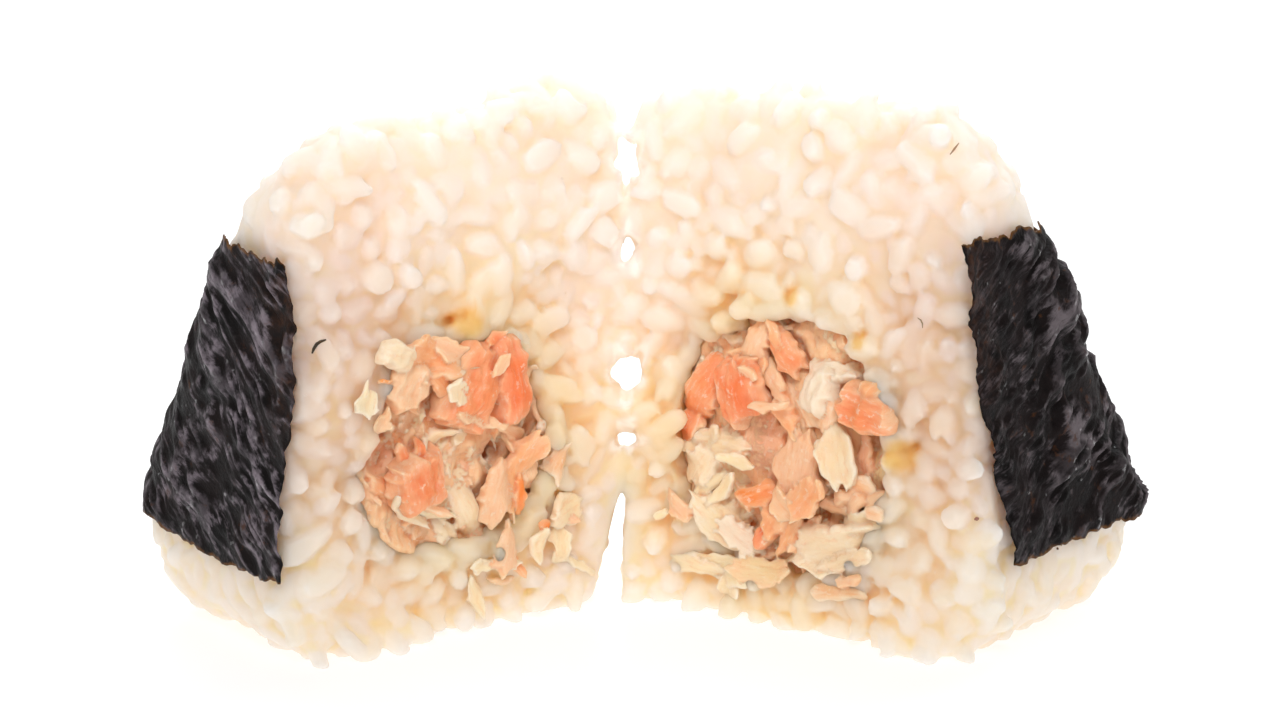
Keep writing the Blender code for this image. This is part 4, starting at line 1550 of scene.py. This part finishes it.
def shredRows(side, random):
    # small scraps all over the filling, under the larger flakes
    half = halves[side]
    centre, radii = np.array(half["fillingCentre"]) / mm, np.array(half["fillingRadii"]) / mm
    rows = []
    for across in np.arange(-1, 1.01, 0.11):
        for up in np.arange(-1, 1.01, 0.11):
            v, w = across + random.normal(0, 0.05), up + random.normal(0, 0.05)
            out = v * v + w * w
            aside, height = centre[1] + v * radii[1], centre[2] + w * radii[2]
            if out > 1.08 or pocketShares(aside, height, side) < 1:
                continue
            kind = random.choice(list(scraps["kinds"]), p=list(scraps["kinds"].values()))
            hue = random.choice(list(scraps["hues"]), p=list(scraps["hues"].values()))
            size = tuple(random.uniform(*span) for span in scraps["sizes"])
            depth = 0.4 + random.normal(0, 0.6) + 0.5 * out
            rows.append((kind, hue, (depth, aside, height), size, random.uniform(0, 180), ""))
    return rows


def makeBed(side):
    # a ball cut off flat at the front, torn there, and raised round the rim
    half = halves[side]
    deselect()
    bpy.ops.mesh.primitive_uv_sphere_add(segments=128, ring_count=80, radius=1.0)
    fish = current("salmonBed" + side.capitalize())
    radii = np.array(half["fillingRadii"]) + bed["margin"]
    places = meshPoints(fish.data) * radii + np.array(half["fillingCentre"])
    share = fillingShareOf(places, half, (1, 2))
    front = bed["front"] - bed["rimRise"] * smoothStep((share - 0.86) / 0.24)
    places[:, 0] = np.maximum(places[:, 0], front + 0.25 * (places[:, 0] - bed["front"]))
    tear = noiseAt(places[:, 1] / (2.2 * mm), places[:, 2] / (2.2 * mm), 3.0 + half["side"])
    line = noiseAt(places[:, 1] / (0.8 * mm), places[:, 2] / (2.6 * mm), 8.0 + half["side"])
    places[:, 0] += (0.7 * tear - 0.5 * (0.5 - np.abs(line))) * mm
    pocket = smoothStep(1.6 - pocketShares(places[:, 1] / mm, places[:, 2] / mm, side))
    places[:, 0] += pocket * (places[:, 0] < 5 * mm) * 3.0 * mm
    torn = np.clip(tear, 0, 1)[:, None]
    tint = np.array(bed["colour"]) * (1 - 0.15 * torn) * (1 - torn * np.array([0.02, 0.28, 0.45]))
    # painted shade: the bed is darker and redder in the hollows
    tint *= 1 - pocket[:, None] * np.array([0.12, 0.35, 0.5])
    setPoints(fish.data, toOpen(places, half))
    if half["side"] < 0:
        fish.data.flip_normals()
    markFish(fish, tint, places[:, [2, 1, 0]] / mm)
    return fish


def fuseFish(name, parts, cell):
    # what lies packed together grows into one mass that keeps each part's colours
    whole = joinPieces(name + "Parts", parts)
    source = whole.data.copy()
    growTogether(whole, cell, salmon["softening"])
    whole = outerShells(whole, salmon["smallestLump"])
    if 2 * len(whole.data.polygons) > salmon["triangles"]:
        keepTriangles(whole, salmon["triangles"])
    whole.name = name
    whole.data.name = name
    points = meshPoints(source)
    tints = np.empty(len(points) * 4, np.float32)
    source.attributes["tint"].data.foreach_get("color", tints)
    fibres = np.empty(len(points) * 3, np.float32)
    source.attributes["fibre"].data.foreach_get("vector", fibres)
    tree = KDTree(len(points))
    for index, point in enumerate(points):
        tree.insert(point, index)
    tree.balance()
    near = np.array([tree.find(point)[1] for point in meshPoints(whole.data)])
    markFish(whole, tints.reshape(-1, 4)[near, :3], fibres.reshape(-1, 3)[near])
    storeValue(whole.data, "shadedCrease", hollowness(whole.data, 8))
    print(name, len(whole.data.polygons), "faces")
    return whole


chunkNodes = {
    "LeftTop": "salmon_chunk_left_top",
    "LeftLow": "salmon_chunk_left_low",
    "LeftSide": "salmon_chunk_left_side",
    "RightTop": "salmon_chunk_right_top",
    "RightDeep": "salmon_chunk_right_deep",
    "RightSide": "salmon_chunk_right_side",
    "RightPale": "salmon_chunk_right_pale",
}
for number, (chunk, node) in enumerate(chunkNodes.items()):
    side = "left" if chunk.startswith("Left") else "right"
    rows = [row for row in salmon[side] if row[5] == chunk]
    loose = buildFlakes("chunkParts" + chunk, rows, side, "chunk", 300 + number, 0.1)
    dressFish(fuseFish("salmonChunk" + chunk, [loose], salmon["cell"]["chunk"]), node)

scrapRandom = np.random.default_rng(salmon["seed"])
for number, side in enumerate(("left", "right")):
    label = side.capitalize()
    rows = [row for row in salmon[side] if not row[5]]
    parts = [
        buildFlakes("flakes" + label, rows, side, "flake", 320 + number),
        buildFlakes("shreds" + label, shredRows(side, scrapRandom), side, "shred", 330 + number, 0.45),
        makeBed(side),
    ]
    dressFish(fuseFish("salmonFlakes" + label, parts, salmon["cell"]["flake"]), "salmon_" + side)
print("salmon laid")

# scraps of nori and toasted bran stuck to the rice: half, line in its closed frame, width, colour
crumbs = {
    "onFace": (
        (
            "left",
            ((-23.0, 37.8), (-22.8, 38.3), (-22.4, 38.8), (-21.9, 39.0), (-21.2, 39.1)),
            0.42,
            (0.04, 0.026, 0.015),
        ),
        ("right", ((-16.8, 40.4), (-17.2, 40.2), (-17.4, 39.8), (-17.4, 39.3)), 0.2, (0.34, 0.24, 0.14)),
        ("right", ((-21.3, 59.4), (-21.9, 60.1), (-22.5, 60.8)), 0.26, (0.36, 0.22, 0.13)),
        ("right", ((-22.7, 17.9), (-22.95, 18.0), (-23.2, 18.1)), 0.5, (0.34, 0.16, 0.12)),
    ),
    "onSkin": (
        ("right", ((14.3, 11.0), (14.45, 11.0), (14.6, 11.0)), 0.34, (0.16, 0.08, 0.03)),
        ("right", ((16.6, 11.4), (16.75, 11.4), (16.9, 11.4)), 0.34, (0.20, 0.10, 0.03)),
        ("right", ((15.2, 11.2), (15.3, 11.2), (15.4, 11.3)), 0.2, (0.35, 0.18, 0.05)),
    ),
}


def makeCrumb(side, line, width, colour, onFace):
    # a short bent thread, thinner at its ends, laid on the torn face or on the outside
    half = halves[side]
    curve = bpy.data.curves.new("crumb", "CURVE")
    curve.dimensions = "3D"
    curve.bevel_depth = width * mm / 2
    curve.bevel_resolution = 2
    curve.use_fill_caps = True
    spline = curve.splines.new("POLY")
    spline.points.add(len(line) - 1)
    middle = (len(line) - 1) / 2
    away = np.array((-1.0, 0, 0) if onFace else (0, -1.0, 0))
    landed = [
        landing(np.array((0, a, b) if onFace else (a, -24.0, b)) * mm, away, half) for a, b in line
    ]
    nearest = min(spot @ heading for spot, heading in landed) - 0.2 * width * mm
    for number, (spot, heading) in enumerate(landed):
        spline.points[number].co = (*(spot + heading * (nearest - spot @ heading)), 1)
        spline.points[number].radius = 1 - 0.55 * (abs(number - middle) / middle) ** 2
    obj = bpy.data.objects.new("crumb", curve)
    bpy.context.scene.collection.objects.link(obj)
    makeActive(obj)
    bpy.ops.object.convert(target="MESH")
    obj = current("crumb")
    points = meshPoints(obj.data)
    markFish(obj, np.tile(colour, (len(points), 1)), points / mm)
    return obj


def crumbLooks(name):
    looks = Looks(name, {"IOR": 1.45, "Specular IOR Level": 0.3})
    toasted = looks.noise(2500, 3.0, 0.6)
    tint = looks.attribute("tint", "Color")
    amber = looks.mix(0.5, tint, (0.42, 0.20, 0.05))
    looks.feed("Base Color", looks.mix(looks.between(toasted, 0.5, 0.75) * 0.6, tint, amber))
    looks.feed("Roughness", 0.4 + toasted * 0.3)
    looks.bump(toasted, 0.05 * mm, 0.6)
    return looks.material


pieces = [makeCrumb(*facts, True) for facts in crumbs["onFace"]]
pieces += [makeCrumb(*facts, False) for facts in crumbs["onSkin"]]
noriCrumbs = joinPieces("noriCrumbs", pieces)
bpy.ops.object.mode_set(mode="EDIT")
bpy.ops.mesh.select_all(action="SELECT")
bpy.ops.mesh.remove_doubles(threshold=0.001 * mm)
bpy.ops.mesh.normals_make_consistent(inside=False)
bpy.ops.object.mode_set(mode="OBJECT")
noriCrumbs.data.shade_smooth()
noriCrumbs.data.materials.append(crumbLooks("toastedCrumbs"))
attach(noriCrumbs, "root")
print("noriCrumbs:", len(noriCrumbs.data.polygons), "faces")

setting = {
    "floorSize": 8.0,
    "floorGlow": 0.65,
    "centre": Vector((-0.3 * mm, -20.7 * mm, 34.9 * mm)),
    "distance": 411.7 * mm,
    "elevation": math.radians(13.83),
    "lens": 101.6,
}

deselect()
bpy.ops.mesh.primitive_plane_add(size=setting["floorSize"], location=(0, 0, 0))
floor = current("floor")
floorLooks = Looks(
    "paleFloor",
    {
        "Base Color": (0.5, 0.5, 0.5, 1),
        "Roughness": 0.9,
        "Emission Color": (1, 1, 1, 1),
        "Emission Strength": setting["floorGlow"],
    },
)
floor.data.materials.append(floorLooks.material)

# the white room: what the camera sees of it, and the softer, warmer light that it gives
room = {
    "seen": {"Color": (1, 1, 1), "Strength": 1.0},
    "light": {"Color": (1.0, 0.965, 0.93), "Strength": 0.52},
}
world = bpy.data.worlds.new("whiteRoom")
bpy.context.scene.world = world
sky = NodeTree(world)
isSeen = sky.node("ShaderNodeLightPath", output="Is Camera Ray")
light = sky.node("ShaderNodeBackground", {}, room["light"])
seen = sky.node("ShaderNodeBackground", {}, room["seen"])
either = sky.node("ShaderNodeMixShader", {}, {0: isSeen, 1: light, 2: seen})
sky.plug(either, sky.tree.nodes["World Output"].inputs["Surface"])

# each lamp's kind, place, what it points at, and what it is set to
softCone = {"spot_blend": 1.0, "shadow_soft_size": 0.06}
lamps = {
    "highLight": (
        "SUN",
        (0, 0, 0),
        (-0.12, -0.8, -1.0),
        {"energy": 2.2, "angle": math.radians(60), "color": (0.90, 0.95, 1.0)},
    ),
    "frontLight": ("SUN", (0, 0, 0), (0.10, 0.80, -0.62), {"energy": 0.1, "angle": math.radians(30)}),
    "seamLight": (
        "SPOT",
        (0, -0.30, 0.30),
        (0, 0, 0.048),
        {"energy": 10.0, "color": (0.88, 0.94, 1.0), "spot_size": math.radians(13), **softCone},
    ),
    "backLight": (
        "SPOT",
        (0, 0.36, 0.16),
        (0, 0, 0.035),
        {"energy": 5.0, "color": (0.88, 0.90, 1.0), "spot_size": math.radians(14), **softCone},
    ),
}
for name, (kind, place, aim, facts) in lamps.items():
    lamp = bpy.data.lights.new(name, kind)
    for fact, value in facts.items():
        setattr(lamp, fact, value)
    obj = bpy.data.objects.new(name, lamp)
    bpy.context.scene.collection.objects.link(obj)
    obj.location = place
    obj.rotation_euler = (Vector(aim) - Vector(place)).to_track_quat("-Z", "Y").to_euler()

cameraData = bpy.data.cameras.new("camera")
cameraData.lens = setting["lens"]
cameraData.sensor_width = 36
cameraData.clip_start = 0.01
camera = bpy.data.objects.new("camera", cameraData)
bpy.context.scene.collection.objects.link(camera)
lookAlong = Vector((0, math.cos(setting["elevation"]), -math.sin(setting["elevation"])))
camera.location = setting["centre"] - lookAlong * setting["distance"]
camera.rotation_euler = lookAlong.to_track_quat("-Z", "Y").to_euler()
bpy.context.scene.camera = camera
bpy.context.scene.view_settings.view_transform = "Standard"
